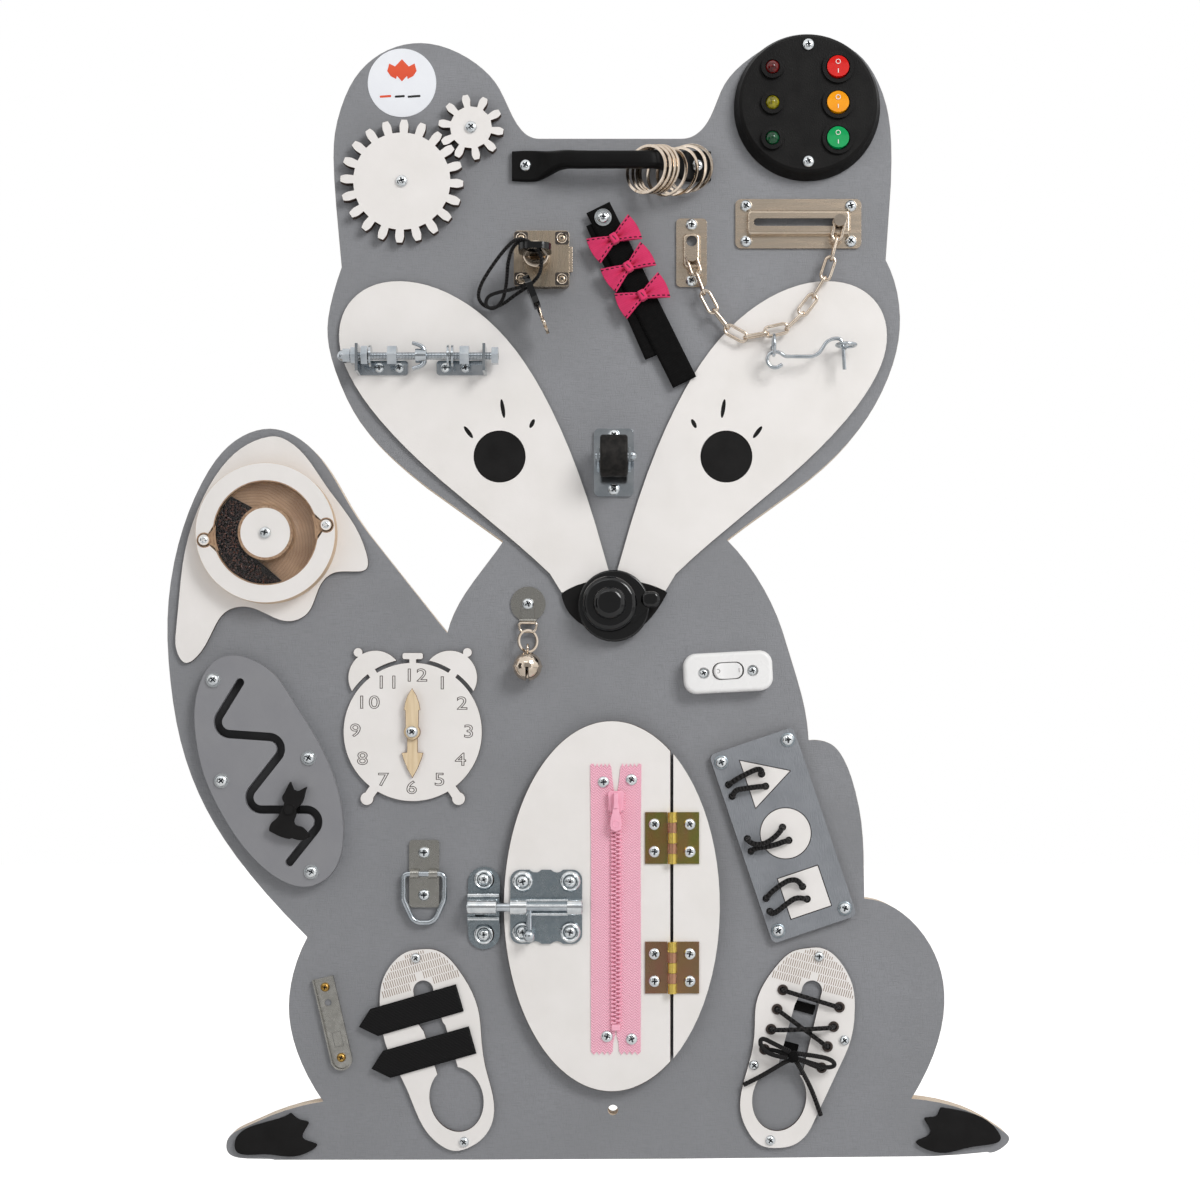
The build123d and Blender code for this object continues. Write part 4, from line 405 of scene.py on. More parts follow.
def cloth_finish(name, colour, valley_shade, relief, depth, rough=(0.7, 0.85), sheen=0.1, shine=0.2):
    """A woven finish: the relief both bumps the cloth and darkens its valleys with painted shade."""
    made = finish(name, colour, colour, rough, ((300, 300, 300), 0.3, 0.7), (relief, 0.8, depth),
                  Sheen_Weight=sheen, Sheen_Roughness=0.4, Specular_IOR_Level=shine)
    tree = made.node_tree
    height = tree.nodes["Bump"].inputs["Height"].links[0].from_socket
    # painted shade: the weave is darkened where its relief is low
    tree.links.new(mix(tree, height, valley_shade, colour), tree.nodes["Principled BSDF"].inputs["Base Color"])
    return made


def braid_finish(strands):
    """Braided black cord; strands is how many diagonal strands cross along its whole length."""
    return cloth_finish(f"black braid, {strands}", srgb(40, 38, 38), srgb(6, 6, 6),
                        lambda tree: pattern(tree, BRAID, Along=float(strands), Round=2.0), 0.0006)


def strap_weave(tree):
    return pattern(tree, WEAVE, Turn=(0.0, math.radians(26), 0.0), Scale=(4200.0, 4200.0, 4200.0))


def satin_weave(tree):
    return pattern(tree, WEAVE, Turn=(0.0, math.radians(-16), 0.0), Scale=(1500.0, 1500.0, 4200.0))


def zip_weave(tree):
    return pattern(tree, CHEVRON, Centre=0.002, Pitch=0.0019, Fold=0.0022)


def rib_lines(tree):
    """Fine cross ribs, six to five millimetres of ribbon."""
    split = add_node(tree, "ShaderNodeSeparateXYZ", {0: add_node(tree, "ShaderNodeTexCoord").outputs["UV"]})
    wave = math_node(tree, "SINE", math_node(tree, "MULTIPLY", split.outputs["X"], 2 * math.pi * 1.2))
    return math_node(tree, "MULTIPLY_ADD", wave, 0.5, 0.5)


def ribbon_finish():
    """Pink ribbed ribbon with black running stitches just inside its long edges.

    The piece's UV map holds millimetres: along the ribbon, and in from the nearer long edge."""
    made = cloth_finish("pink grosgrain", srgb(232, 66, 116), srgb(206, 44, 92), rib_lines, 0.0003, sheen=0.15)
    tree = made.node_tree
    shader = tree.nodes["Principled BSDF"]
    cloth = shader.inputs["Base Color"].links[0].from_socket
    split = add_node(tree, "ShaderNodeSeparateXYZ", {0: add_node(tree, "ShaderNodeTexCoord").outputs["UV"]})
    inside = math_node(tree, "COMPARE", split.outputs["Y"], 1.35, 0.42)
    phase = math_node(tree, "FRACT", math_node(tree, "DIVIDE", split.outputs["X"], 3.9))
    dash = math_node(tree, "COMPARE", phase, 0.5, 0.27)
    stitched = math_node(tree, "MULTIPLY", inside, dash)
    tree.links.new(mix(tree, stitched, cloth, srgb(18, 12, 16)), shader.inputs["Base Color"])
    return made


board_paint = board_finish()
yellow_zinc = yellow_zinc_finish("gold zinc", srgb(164, 146, 62), srgb(222, 194, 100))
rosy_zinc = yellow_zinc_finish("rosy zinc", srgb(150, 124, 66), srgb(190, 142, 114))
walnut = walnut_finish()
clear_cover = clear_finish("clear acrylic", (1.0, 1.0, 1.0, 1.0), 0.02)
braid, short_braid = braid_finish(60), braid_finish(16)
strap_black = cloth_finish("black webbing", srgb(14, 13, 13), srgb(4, 4, 4), strap_weave, 0.0003, sheen=0.03,
                           shine=0.1)
satin_black = cloth_finish("black satin", srgb(19, 18, 19), srgb(3, 3, 3), satin_weave, 0.0003,
                           rough=(0.35, 0.5), sheen=0.02, shine=0.16)
pink_tape = cloth_finish("pink zip tape", srgb(254, 200, 214), srgb(238, 164, 187), zip_weave, 0.0004)
grosgrain = ribbon_finish()
pink_plastic = finish("pink plastic", srgb(250, 182, 202), srgb(244, 170, 192), (0.3, 0.42),
                      ((90, 90, 90), 0.3, 0.7), ((700, 700, 700), 0.05, 0.0002))
thread_black = finish("black thread", srgb(20, 18, 20), srgb(12, 12, 12), (0.6, 0.7))
seed_brown = finish("seed", srgb(72, 49, 43), srgb(40, 27, 24), (0.2, 0.35), ((900, 900, 900), 0.3, 0.7))
seed_gap = finish("shade between seeds", srgb(20, 14, 12), srgb(12, 9, 8), (0.8, 0.9),
                  ((300, 300, 300), 0.3, 0.7))


# ------------------------------------------------------------------ mesh helpers
def at(x=0.0, y=0.0, z=0.0, turn=0.0):
    return Matrix.Translation((x, y, z)) @ Matrix.Rotation(math.radians(turn), 4, "Z")


def tilt(angle, axis):
    return Matrix.Rotation(math.radians(angle), 4, axis)


def pour(target, source):
    """Empties one shape into another."""
    carrier = bpy.data.meshes.new("carrier")
    source.to_mesh(carrier)
    source.free()
    target.from_mesh(carrier)
    bpy.data.meshes.remove(carrier)


def put(target, source, place=None, material=0):
    """Adds a shape to a piece, at a place, in one of the piece's materials."""
    if place is not None:
        bmesh.ops.transform(source, matrix=place, verts=source.verts)
    for face in source.faces:
        face.material_index = material
    pour(target, source)


def make(name, shape, body, materials, replaces=(), crease=38, outwards=True):
    """Stands a shape up as a piece of the object that moves with a body."""
    if outwards:
        bmesh.ops.recalc_face_normals(shape, faces=shape.faces)
    bmesh.ops.transform(shape, matrix=STAND, verts=shape.verts)
    mesh = bpy.data.meshes.new(name)
    shape.to_mesh(mesh)
    shape.free()
    for material in materials if isinstance(materials, (list, tuple)) else [materials]:
        mesh.materials.append(material)
    mesh.shade_smooth()
    mesh.set_sharp_from_angle(angle=math.radians(crease))
    piece = bpy.data.objects.new(name, mesh)
    scene.collection.objects.link(piece)
    crisp = piece.modifiers.new("flat faces stay flat", "WEIGHTED_NORMAL")
    crisp.keep_sharp = True
    if body:
        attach(piece, body)
    if replaces:
        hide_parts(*replaces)
    return piece


def lathe(profile, steps=48):
    """A turned shape from (radius, height) pairs about Z."""
    shape = bmesh.new()
    verts = [shape.verts.new((radius, 0, height)) for radius, height in profile]
    edges = [shape.edges.new(pair) for pair in zip(verts, verts[1:])]
    bmesh.ops.spin(shape, geom=verts + edges, cent=(0, 0, 0), axis=(0, 0, 1), angle=2 * math.pi, steps=steps,
                   use_merge=True, use_duplicate=False)
    bmesh.ops.remove_doubles(shape, verts=shape.verts, dist=0.0005)
    bmesh.ops.recalc_face_normals(shape, faces=shape.faces)
    return shape


def plate(outline, low, high, rim=0.0, segments=2):
    """A flat piece sawn to an outline, with its top rim eased where rim is given."""
    shape = bmesh.new()
    top = shape.faces.new([shape.verts.new((x, y, low)) for x, y in outline])
    grown = bmesh.ops.extrude_face_region(shape, geom=[top], use_keep_orig=True)
    raised = {item for item in grown["geom"] if isinstance(item, bmesh.types.BMVert)}
    bmesh.ops.translate(shape, verts=list(raised), vec=(0, 0, high - low))
    bmesh.ops.recalc_face_normals(shape, faces=shape.faces)
    if rim:
        edges = [edge for edge in shape.edges if set(edge.verts) <= raised]
        bmesh.ops.bevel(shape, geom=edges, offset=rim, segments=segments, profile=0.5, affect="EDGES",
                        material=-1)
    return shape


def rounded(width, length, corner, steps=6):
    """The outline of a rectangle with rounded corners, about its centre."""
    points = []
    for quarter, (sx, sy) in enumerate(((1, 1), (-1, 1), (-1, -1), (1, -1))):
        for step in range(steps + 1):
            angle = math.radians(90 * (quarter + step / steps))
            points.append((sx * (width / 2 - corner) + corner * math.cos(angle),
                           sy * (length / 2 - corner) + corner * math.sin(angle)))
    return points


def circle(radius, steps=40, x=0.0, y=0.0):
    return [(x + radius * math.cos(2 * math.pi * step / steps), y + radius * math.sin(2 * math.pi * step / steps))
            for step in range(steps)]


def block(width, length, height, rim=0.3, segments=2):
    """A block about its centre with every edge eased."""
    shape = bmesh.new()
    bmesh.ops.create_cube(shape, size=1.0)
    bmesh.ops.scale(shape, vec=(width, length, height), verts=shape.verts)
    bmesh.ops.bevel(shape, geom=list(shape.edges), offset=rim, segments=segments, profile=0.5, affect="EDGES",
                    material=-1)
    return shape


def coil(radius, width, height, turns, pitch, steps=72):
    """A spring of flat wire about Z: width is radial, height along Z."""
    shape = bmesh.new()
    soft = min(width, height) * 0.3
    section = rounded(width, height, soft, 2)
    verts = [shape.verts.new((radius + u, 0, w)) for u, w in section]
    wire = shape.faces.new(verts)
    bmesh.ops.spin(shape, geom=[wire], cent=(0, 0, 0), axis=(0, 0, 1), dvec=(0, 0, pitch / steps),
                   angle=2 * math.pi * turns, steps=int(steps * turns), use_merge=False, use_duplicate=False)
    bmesh.ops.recalc_face_normals(shape, faces=shape.faces)
    return shape


def spline_through(keys, count):
    """Rows of numbers eased smoothly through the key rows (Catmull-Rom)."""
    rows = []
    for step in range(count):
        place = step / (count - 1) * (len(keys) - 1)
        index = min(int(place), len(keys) - 2)
        s = place - index
        a, b = keys[max(index - 1, 0)], keys[index]
        c, d = keys[index + 1], keys[min(index + 2, len(keys) - 1)]
        rows.append([0.5 * (2 * q + (r - p) * s + (2 * p - 5 * q + 4 * r - u) * s ** 2
                            + (3 * q - p - 3 * r + u) * s ** 3) for p, q, r, u in zip(a, b, c, d)])
    return rows


def skin(outlines, closed=False):
    """The solid through a row of outlines of equal count; closed joins the last to the first."""
    shape, previous, first = bmesh.new(), None, None
    for outline in outlines:
        verts = [shape.verts.new(place) for place in outline]
        edges = [shape.edges.new(pair) for pair in zip(verts, verts[1:] + verts[:1])]
        if previous:
            bmesh.ops.bridge_loops(shape, edges=previous + edges)
        elif not closed:
            shape.faces.new(verts)
        previous, first = edges, first or edges
    if closed:
        bmesh.ops.bridge_loops(shape, edges=previous + first)
    else:
        shape.faces.new(verts)
    bmesh.ops.recalc_face_normals(shape, faces=shape.faces)
    return shape


def loft(keys, count, corner=0.45):
    """A bar along X through rows of (x, y, z, width across Y, depth along Z)."""
    rows = spline_through(keys, count)
    outlines = []
    for index, (x, y, z, width, depth) in enumerate(rows):
        before, after = rows[max(index - 1, 0)], rows[min(index + 1, count - 1)]
        slope = math.atan2(after[2] - before[2], after[0] - before[0])
        place = Matrix.Translation((x, y, z)) @ Matrix.Rotation(-slope, 4, "Y")
        section = rounded(width, depth, min(width, depth) * corner, 4)
        outlines.append([place @ Vector((0, u, w)) for u, w in section])
    return skin(outlines)


def lying_copy(node):
    """A CAD node's shape, lying in millimetres, with its triangles joined."""
    shape = bmesh.new()
    shape.from_mesh(nodes[node].data)
    bmesh.ops.transform(shape, matrix=LIE, verts=shape.verts)
    bmesh.ops.remove_doubles(shape, verts=shape.verts, dist=0.001)
    return shape


def cut_through(shape, cutters):
    """The shape less each cutter."""
    for cutter_shape in cutters:
        blanks = []
        for blank_shape in (shape, cutter_shape):
            mesh = bpy.data.meshes.new("blank")
            blank_shape.to_mesh(mesh)
            blank_shape.free()
            blank = bpy.data.objects.new("blank", mesh)
            scene.collection.objects.link(blank)
            blanks.append(blank)
        cut = blanks[0].modifiers.new("cut", "BOOLEAN")
        cut.object, cut.operation, cut.solver = blanks[1], "DIFFERENCE", "EXACT"
        shown = blanks[0].evaluated_get(bpy.context.evaluated_depsgraph_get())
        result = bpy.data.meshes.new_from_object(shown)
        shape = bmesh.new()
        shape.from_mesh(result)
        for blank in blanks:
            bpy.data.objects.remove(blank)
        bpy.data.meshes.remove(result)
    return shape


def refine(node, material, rim, crease=30, cutters=(), swept=None):
    """The node's own shape with its sharp edges eased, in place of the plain one.

    swept is (a test of a place, a rim): the edges whose two ends pass are rounded by that larger rim."""
    shape = cut_through(lying_copy(node), cutters)
    bmesh.ops.dissolve_limit(shape, angle_limit=math.radians(1.5), verts=shape.verts, edges=shape.edges,
                             delimit={"NORMAL"})
    if swept:
        test, reach = swept
        broad = [edge for edge in shape.edges if edge.is_manifold and edge.calc_face_angle(0) > 0.7
                 and all(test(vert.co) for vert in edge.verts)]
        bmesh.ops.bevel(shape, geom=broad, offset=reach, segments=5, profile=0.5, affect="EDGES", material=-1)
    sharp = [edge for edge in shape.edges if edge.is_manifold and edge.calc_face_angle(0) > math.radians(crease)]
    bmesh.ops.bevel(shape, geom=sharp, offset=rim, segments=2, profile=0.5, affect="EDGES", material=-1,
                    clamp_overlap=True)
    body = next(name for name, parts in frame["record"]["behaviour"]["bodies"].items() if node in parts)
    return make(node + "_eased", shape, body, material, [node], crease=crease, outwards=False)


def islands(shape):
    """The separate solids of a shape, as lists of vertices, always in the same order."""
    seen, found = set(), []
    for start in shape.verts:
        if start in seen:
            continue
        seen.add(start)
        todo, group = [start], []
        while todo:
            vert = todo.pop()
            group.append(vert)
            for edge in vert.link_edges:
                other = edge.other_vert(vert)
                if other not in seen:
                    seen.add(other)
                    todo.append(other)
        found.append(group)
    return found


def line_curve(name, points, radius, order=3):
    """A smooth round line through space: a NURBS curve with these points as its controls."""
    data = bpy.data.curves.new(name, "CURVE")
    data.dimensions = "3D"
    data.resolution_u = 10
    data.bevel_depth = radius * 0.001
    data.bevel_resolution = 4
    data.use_fill_caps = True
    spline = data.splines.new("NURBS")
    spline.points.add(len(points) - 1)
    for point, place in zip(spline.points, points):
        point.co = (*(STAND @ Vector(place)), 1.0)
    spline.order_u = order
    spline.use_endpoint_u = True
    curve = bpy.data.objects.new(name, data)
    scene.collection.objects.link(curve)
    return curve


def route_length(curve):
    """The length of a curve's centreline, in metres."""
    depth, curve.data.bevel_depth = curve.data.bevel_depth, 0.0
    line = bpy.data.meshes.new_from_object(curve.evaluated_get(bpy.context.evaluated_depsgraph_get()))
    curve.data.bevel_depth = depth
    places = [vert.co for vert in line.vertices]
    return sum((b - a).length for a, b in zip(places, places[1:]))


def cord(name, points, radius, material, replaces=()):
    """A round cord along its route, carried by the board."""
    curve = line_curve(name, points, radius)
    length = route_length(curve)
    curve.data.materials.append(material)
    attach(curve, "board")
    if replaces:
        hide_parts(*replaces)
    return curve


# ------------------------------------------------------------------ finishes of the carried-over solids
DRESS = {
    "board": board_paint, "white_overlays": white_paint, "black_overlays": black_paint,
    "large_gear": white_paint, "small_gear": white_paint, "pull_handle": grained_black,
    "light_box": matt_black, "rocker_red": red_rocker, "rocker_amber": amber_rocker,
    "rocker_green": green_rocker, "battery_pack": cell_wrap, "lock_case": lock_nickel, "lock_bolt": nickel,
    "chain_plates": nickel, "chain_stud": bright_nickel, "screw_eyes": zinc, "cabin_hook": zinc,
    "rod_and_brackets": zinc, "wing_nut": zinc, "caster_frame": zinc, "caster_wheel": rubber,
    "bell_body": gloss_black, "bell_lever": gloss_black, "seed_wheel": wheel_paint, "maze_panel": panel_paint,
    "maze_figure": black_paint, "clock_face": white_paint, "hour_hand": bare_ply, "minute_hand": bare_ply,
    "steel_plates": plate_zinc, "ring_loop": zinc, "jingle_bell": bright_nickel, "cord_switch_case": white_plastic,
    "cord_switch_rocker": white_plastic, "lacing_panel": lacing_paint, "lacing_shapes": white_paint,
    "door_panel": white_paint, "hinge_frame_leaves": yellow_zinc, "hinge_door_leaves": rosy_zinc,
    "bolt_keeper": dull_zinc, "bolt_plate": dull_zinc, "bolt_rod": zinc, "zip_slider": pink_plastic,
    "seed_window": clear_cover, "seeds": seed_gap,
}
EASED = {"white_overlays": 0.42, "large_gear": 0.42, "small_gear": 0.42, "clock_face": 0.4, "light_box": 0.5,
         "lock_case": 0.5, "chain_plates": 0.6, "maze_panel": 0.35, "lacing_panel": 0.4, "bolt_keeper": 0.5,
         "bolt_plate": 0.4, "steel_plates": 0.4, "caster_frame": 0.4, "hinge_frame_leaves": 0.2,
         "hinge_door_leaves": 0.2, "cord_switch_case": 0.3, "rod_and_brackets": 0.3, "seed_wheel": 0.3,
         "maze_figure": 0.3, "board": 0.4, "door_panel": 0.42, "black_overlays": 0.2, "lock_bolt": 0.3,
         "caster_wheel": 0.6, "lacing_shapes": 0.35, "bell_body": 0.2, "bell_lever": 0.3}
for node, material in DRESS.items():
    mesh = nodes[node].data
    mesh.materials.clear()
    mesh.materials.append(material)


def on_pressed_rim(place):
    """Whether a place is on the outer top rim of one of the two pressed chain plates."""
    if place.x > 80:
        return place.z > FACE + 5.8 and (abs(place.y - 620.0) > 6.0 or abs(place.x - 129.6) > 33.5)
    return place.z > FACE + 4.3 and (abs(place.y - 600.7) > 11.2 or abs(place.x - 54.9) > 5.2)


def keeper_cover_space():
    """Where the keeper's rounded cover stands in place of its square housing."""
    space = block(15.6, 13.0, 12.0, 0.01, 1)
    bmesh.ops.translate(space, vec=(-88.2, 143.0, FACE + 9.3 + 6.0), verts=space.verts)
    return space


for node, rim in EASED.items():
    refine(node, DRESS[node], rim, cutters=[keeper_cover_space()] if node == "bolt_keeper" else (),
           swept=(on_pressed_rim, 1.9) if node == "chain_plates" else None)


# ------------------------------------------------------------------ screws
def screw_head_template():
    """A pan head of radius 1 and height 0.58 with a cross recess cut in it."""
    head = lathe([(0, 0.58), (0.3, 0.57), (0.55, 0.53), (0.78, 0.43), (0.93, 0.28), (1.0, 0.12), (1.0, 0.0),
                  (0, 0)], 40)
    body = make("head blank", head, None, [])
    slots = bmesh.new()
    for turn in (0, 90):
        put(slots, plate([(-0.52, -0.11), (0.52, -0.11), (0.52, 0.11), (-0.52, 0.11)], 0.16, 1.0),
            at(turn=turn))
    put(slots, lathe([(0, 1.0), (0.26, 1.0), (0.2, 0.16), (0, 0.1)], 8))
    cutter = make("slot blank", slots, None, [])
    cut = body.modifiers.new("cut", "BOOLEAN")
    cut.object, cut.operation, cut.solver, cut.use_self = cutter, "DIFFERENCE", "EXACT", True
    shown = body.evaluated_get(bpy.context.evaluated_depsgraph_get())
    result = bpy.data.meshes.new_from_object(shown)
    for blank in (body, cutter):
        bpy.data.objects.remove(blank)
    result.transform(LIE)
    # faces inside the cross recess get index 1, which add_head colours with the recess's painted shade
    for face in result.polygons:
        reach = math.hypot(face.center.x, face.center.y)
        face.material_index = int(reach < 0.6 and 0.08 < face.center.z < 0.5 - 0.2 * reach)
    return result


HEAD = screw_head_template()


def add_head(target, x, y, base, radius, height, turn, material=0, recess=0):
    head = bmesh.new()
    head.from_mesh(HEAD)
    bmesh.ops.transform(head, matrix=at(x, y, base, turn) @ Matrix.Diagonal((radius, radius, height / 0.58, 1)),
                        verts=head.verts)
    for face in head.faces:
        face.material_index = recess if face.material_index else material
    pour(target, head)


def dress_screws(node, body):
    """The node's screws with real cross-recessed heads; its spacers, washers and eyelets are kept."""
    source, screws = lying_copy(node), bmesh.new()
    kept = []
    for group in islands(source):
        xs, ys, zs = [[vert.co[axis] for vert in group] for axis in range(3)]
        x, y = (min(xs) + max(xs)) / 2, (min(ys) + max(ys)) / 2
        low, top = min(zs), max(zs)
        radius = (max(xs) - min(xs)) / 2
        if top - low < 6.5:
            kept.append(group)
            continue
        shank = max(math.hypot(vert.co.x - x, vert.co.y - y) for vert in group if vert.co.z < low + 0.1)
        base = min(vert.co.z for vert in group if math.hypot(vert.co.x - x, vert.co.y - y) > shank + 0.4)
        brassy = x < -180 and y < 100
        turn = random.uniform(0, 90)
        add_head(screws, x, y, base, radius, top - base, turn, 1 if brassy else 0, 2)
        put(screws, lathe([(0, base + 0.3), (shank, base + 0.3), (shank, low + shank), (0, low)], 20), at(x, y))
    keep = {vert for group in kept for vert in group}
    bmesh.ops.delete(source, geom=[vert for vert in source.verts if vert not in keep], context="VERTS")
    for face in source.faces:
        centre = face.calc_center_median()
        face.material_index = 3 if centre.x > 80 and centre.y < 110 else 0
    pour(screws, source)
    make(node + "_dressed", screws, body, [screw_zinc, brass, screw_recess_shade, digit_brown], [node])


dress_screws("board_screws", "board")
dress_screws("door_screws", "door")


# ------------------------------------------------------------------ round sticker on the left ear
def sticker():
    x, y, radius = -147.7, 718.9, 24.0
    shape = bmesh.new()
    put(shape, plate(circle(radius, 64), FACE, FACE + 0.4, 0.15), at(x, y))
    petals = [(0, 0, 5.2, 10.0), (-6.4, -0.6, 3.4, 7.6), (6.4, -0.6, 3.4, 7.6)]
    for order, (dx, dy, half, tall) in enumerate(petals):
        outline = [(0, -tall * 0.75), (half * 0.8, -tall * 0.3), (half, tall * 0.25), (half * 0.45, tall * 0.55),
                   (0, tall * 0.8), (-half * 0.45, tall * 0.55), (-half, tall * 0.25), (-half * 0.8, -tall * 0.3)]
        place = at(x + dx, y + 8.5 + dy, 0, -math.copysign(24, dx) if dx else 0)
        put(shape, plate(outline, FACE + 0.3, FACE + 0.5 + 0.04 * order), place, 1)
    for dx, width in ((-11.5, 8.0), (-1.5, 7.0), (8.5, 9.0)):
        put(shape, plate(rounded(width, 1.5, 0.7), FACE + 0.3, FACE + 0.52), at(x + dx, y - 9.5, 0, 4),
            1 if dx < -10 else 2)
    orange = finish("orange print", srgb(228, 84, 42), srgb(220, 74, 34), (0.35, 0.45))
    paper = finish("sticker paper", srgb(240, 242, 246), srgb(234, 236, 241), (0.3, 0.4), ((30, 30, 30), 0.3, 0.7))
    make("ear_sticker", shape, "board", [paper, orange, thread_black])


sticker()


# ------------------------------------------------------------------ split rings on the handle
HANDLE_AT = (-1.1, 660.0)


def split_ring(along, height, drop, lean):
    """Two flat coils that hug each other, hung round the handle."""
    ring = coil(16.0, 2.0, 0.56, 1.97, 0.6)
    lift = Matrix.Translation((0, 0, -0.6))
    place = at(HANDLE_AT[0] + along, HANDLE_AT[1] - drop, FACE + height) @ tilt(-lean, "Y") @ lift
    return ring, place @ tilt(along * 40, "Z")


def split_rings():
    on_bar = [(along, 18.0, 6.7, 36.0) for along in (24.2, 27.8, 30.6, 33.0)]
    on_leg = [(38.6, 10.7, 6.4, 35.0), (45.8, 10.0, 5.8, 32.0), (51.2, 8.9, 4.1, 28.0), (54.6, 6.0, 2.4, 17.0)]
    for node, places in (("bar_rings", on_bar), ("leg_rings", on_leg)):
        shape = bmesh.new()
        for ring_place in places:
            put(shape, *split_ring(*ring_place))
        make(node + "_coils", shape, node, bright_nickel, [node])


split_rings()


# ------------------------------------------------------------------ light box lamps and rocker marks
LAMP_BOX_AT = (135.6, 701.0)
LAMP_PITCH = 24.6
ROCKER_DISH = 0.6


def lamps():
    tints = {"red": srgb(104, 8, 8), "yellow": srgb(146, 136, 10), "green": srgb(3, 78, 42)}
    shape, finishes = bmesh.new(), []
    for order, (name, tint) in enumerate(tints.items()):
        x, y = LAMP_BOX_AT[0] - 25.0, LAMP_BOX_AT[1] + LAMP_PITCH * (1 - order)
        dome = lathe([(0, 17.0), (1.6, 16.8), (3.2, 15.9), (4.4, 14.6), (4.95, 13.0), (5.0, 5.0), (0, 5.0)], 32)
        put(shape, dome, at(x, y, FACE), order)
        dark = tuple(channel * 0.35 for channel in tint[:3]) + (1.0,)
        finishes.append(finish(name + " lamp lens", tint, dark, (0.04, 0.08), ((400, 400, 400), 0.4, 0.6),
                               Coat_Weight=0.4, Specular_IOR_Level=0.3))
    make("lamp_domes", shape, "board", finishes, ["lamp_lenses"])


def mark_rise(y):
    """How high the rocker's dished face stands at a distance from its middle."""
    return 2.55 + ROCKER_DISH * (y / 7.6) ** 2


def rocker_marks():
    for order, name in enumerate(("red", "amber", "green")):
        place = at(LAMP_BOX_AT[0] + 20.5, LAMP_BOX_AT[1] + LAMP_PITCH * (1 - order), FACE + 11.4) @ tilt(-7, "X")
        shape, mark_slope = bmesh.new(), 4.0
        put(shape, lathe([(1.75, 0.1), (1.75, 0.22), (1.3, 0.22), (1.3, 0.1), (1.75, 0.1)], 24),
            place @ at(0, 3.4, mark_rise(3.4)) @ tilt(mark_slope, "X"))
        put(shape, plate(rounded(0.6, 3.2, 0.25), 0.1, 0.22),
            place @ at(0, -3.2, mark_rise(-3.2)) @ tilt(-mark_slope, "X"))
        make("marks_" + name, shape, "rocker_" + name, mark_white)


lamps()
rocker_marks()


# ------------------------------------------------------------------ lock: key, spare key and cord
def keys():
    for node, body in (("lock_key", "lock_key"), ("spare_key", "board")):
        shape = lying_copy(node)
        for face in shape.faces:
            centre = face.calc_center_median()
            if node == "lock_key":
                face.material_index = 0 if centre.z > 41.2 else 1
            else:
                face.material_index = 0 if centre.y > 553.0 else 1
        make(node + "_dressed", shape, body, [gloss_black, nickel], [node], outwards=False)


def lock_rings():
    """The rounded front ring of the lock's cylinder and the turned steps inside it."""
    x, y = -53.3, 594.5
    shape = bmesh.new()
    top = FACE + 20.0
    put(shape, lathe([(9.3, top - 3.0), (9.5, top - 1.2), (9.2, top - 0.1), (8.4, top + 0.35), (7.4, top + 0.35),
                      (7.1, top - 0.1), (6.6, top - 0.1), (6.4, top + 0.15), (6.1, top + 0.15), (6.1, top - 3.0)],
                     56), at(x, y))
    make("lock_front_ring", shape, "board", bright_nickel)


KEY_CORD_RADIUS = 1.25
keys()
lock_rings()
cord("key_cord_outer",
     [(-57.9, 572.3, 37.8), (-52, 576.5, 42), (-49, 581.5, 48), (-48.4, 589.6, 56.8), (-57.9, 599.1, 57.2),
      (-66, 601, 54), (-74, 596, 46), (-84, 586, 36), (-92.5, 575, 27.5), (-94.5, 566, 23.5), (-87, 559.5, 22.5),
      (-77, 562.5, 23), (-68.5, 568, 28), (-59, 572, 36.5)], KEY_CORD_RADIUS, braid,
     replaces=["key_cord"])
cord("key_cord_inner",
     [(-52.6, 593.6, 54.3), (-60, 600.9, 53.5), (-68.4, 597.8, 48.4), (-72.6, 588, 40), (-73.5, 578, 32),
      (-75.5, 568, 27), (-79, 561.5, 26.2), (-84.5, 558.5, 26), (-89, 561.5, 26), (-87.5, 567.5, 26.2),
      (-81, 570, 27.5), (-71.5, 571, 31), (-59.2, 572.5, 39)], KEY_CORD_RADIUS, braid,
     replaces=["key_cord"])


# ------------------------------------------------------------------ strap and ribbon bows
STRAP = at(-9.6, 628.5, 0, 26.4)
STRAP_REST = OVERLAY_TOP + 0.2
STRAP_TOP = STRAP_REST + 2.4


def ribbon(name, width, length, thickness, place, body, material, wave=0.15,
           point=0.0, replaces=()):
    """A flat band of cloth hanging from its top edge, with a faint wave; point gives a pointed end."""
    shape = bmesh.new()
    columns, rows = 8, 48
    bmesh.ops.create_grid(shape, x_segments=columns, y_segments=rows, size=0.5)
    for vert in shape.verts:
        u, v = vert.co.x, 0.5 - vert.co.y
        reach = length - point * abs(u) * 2
        lift = wave * math.sin(v * 9.0) * math.sin(u * 2.2 + v * 4)
        vert.co = (u * width, -v * reach, thickness / 2 + lift * math.sin(math.pi * min(1.0, v * 1.1)))
    bmesh.ops.transform(shape, matrix=place, verts=shape.verts)
    piece = make(name, shape, body, material, replaces, crease=80, outwards=False)
    thick = piece.modifiers.new("thick", "SOLIDIFY")
    thick.thickness, thick.offset = thickness * 0.001, 0.0
    return piece


def strap():
    ribbon("strap_upper", 18.0, 136.0, 1.1, STRAP @ at(0, 2, STRAP_REST + 1.25), "board", strap_black,
           replaces=["bow_strap"])
    ribbon("strap_under", 18.0, 102.0, 1.1, STRAP @ at(-4, -6.1, STRAP_REST, -2.5), "board", strap_black,
           wave=0.1)
    shape = bmesh.new()
    top = STRAP_TOP
    put(shape, lathe([(6.1, top), (6.0, top + 0.9), (5.3, top + 1.3), (4.7, top + 0.9), (4.4, top + 0.5),
                      (4.1, top + 1.2), (3.4, top + 1.2), (3.4, top), (6.1, top)], 40), STRAP @ at(0, -6))
    make("strap_cup_washer", shape, "board", zinc)


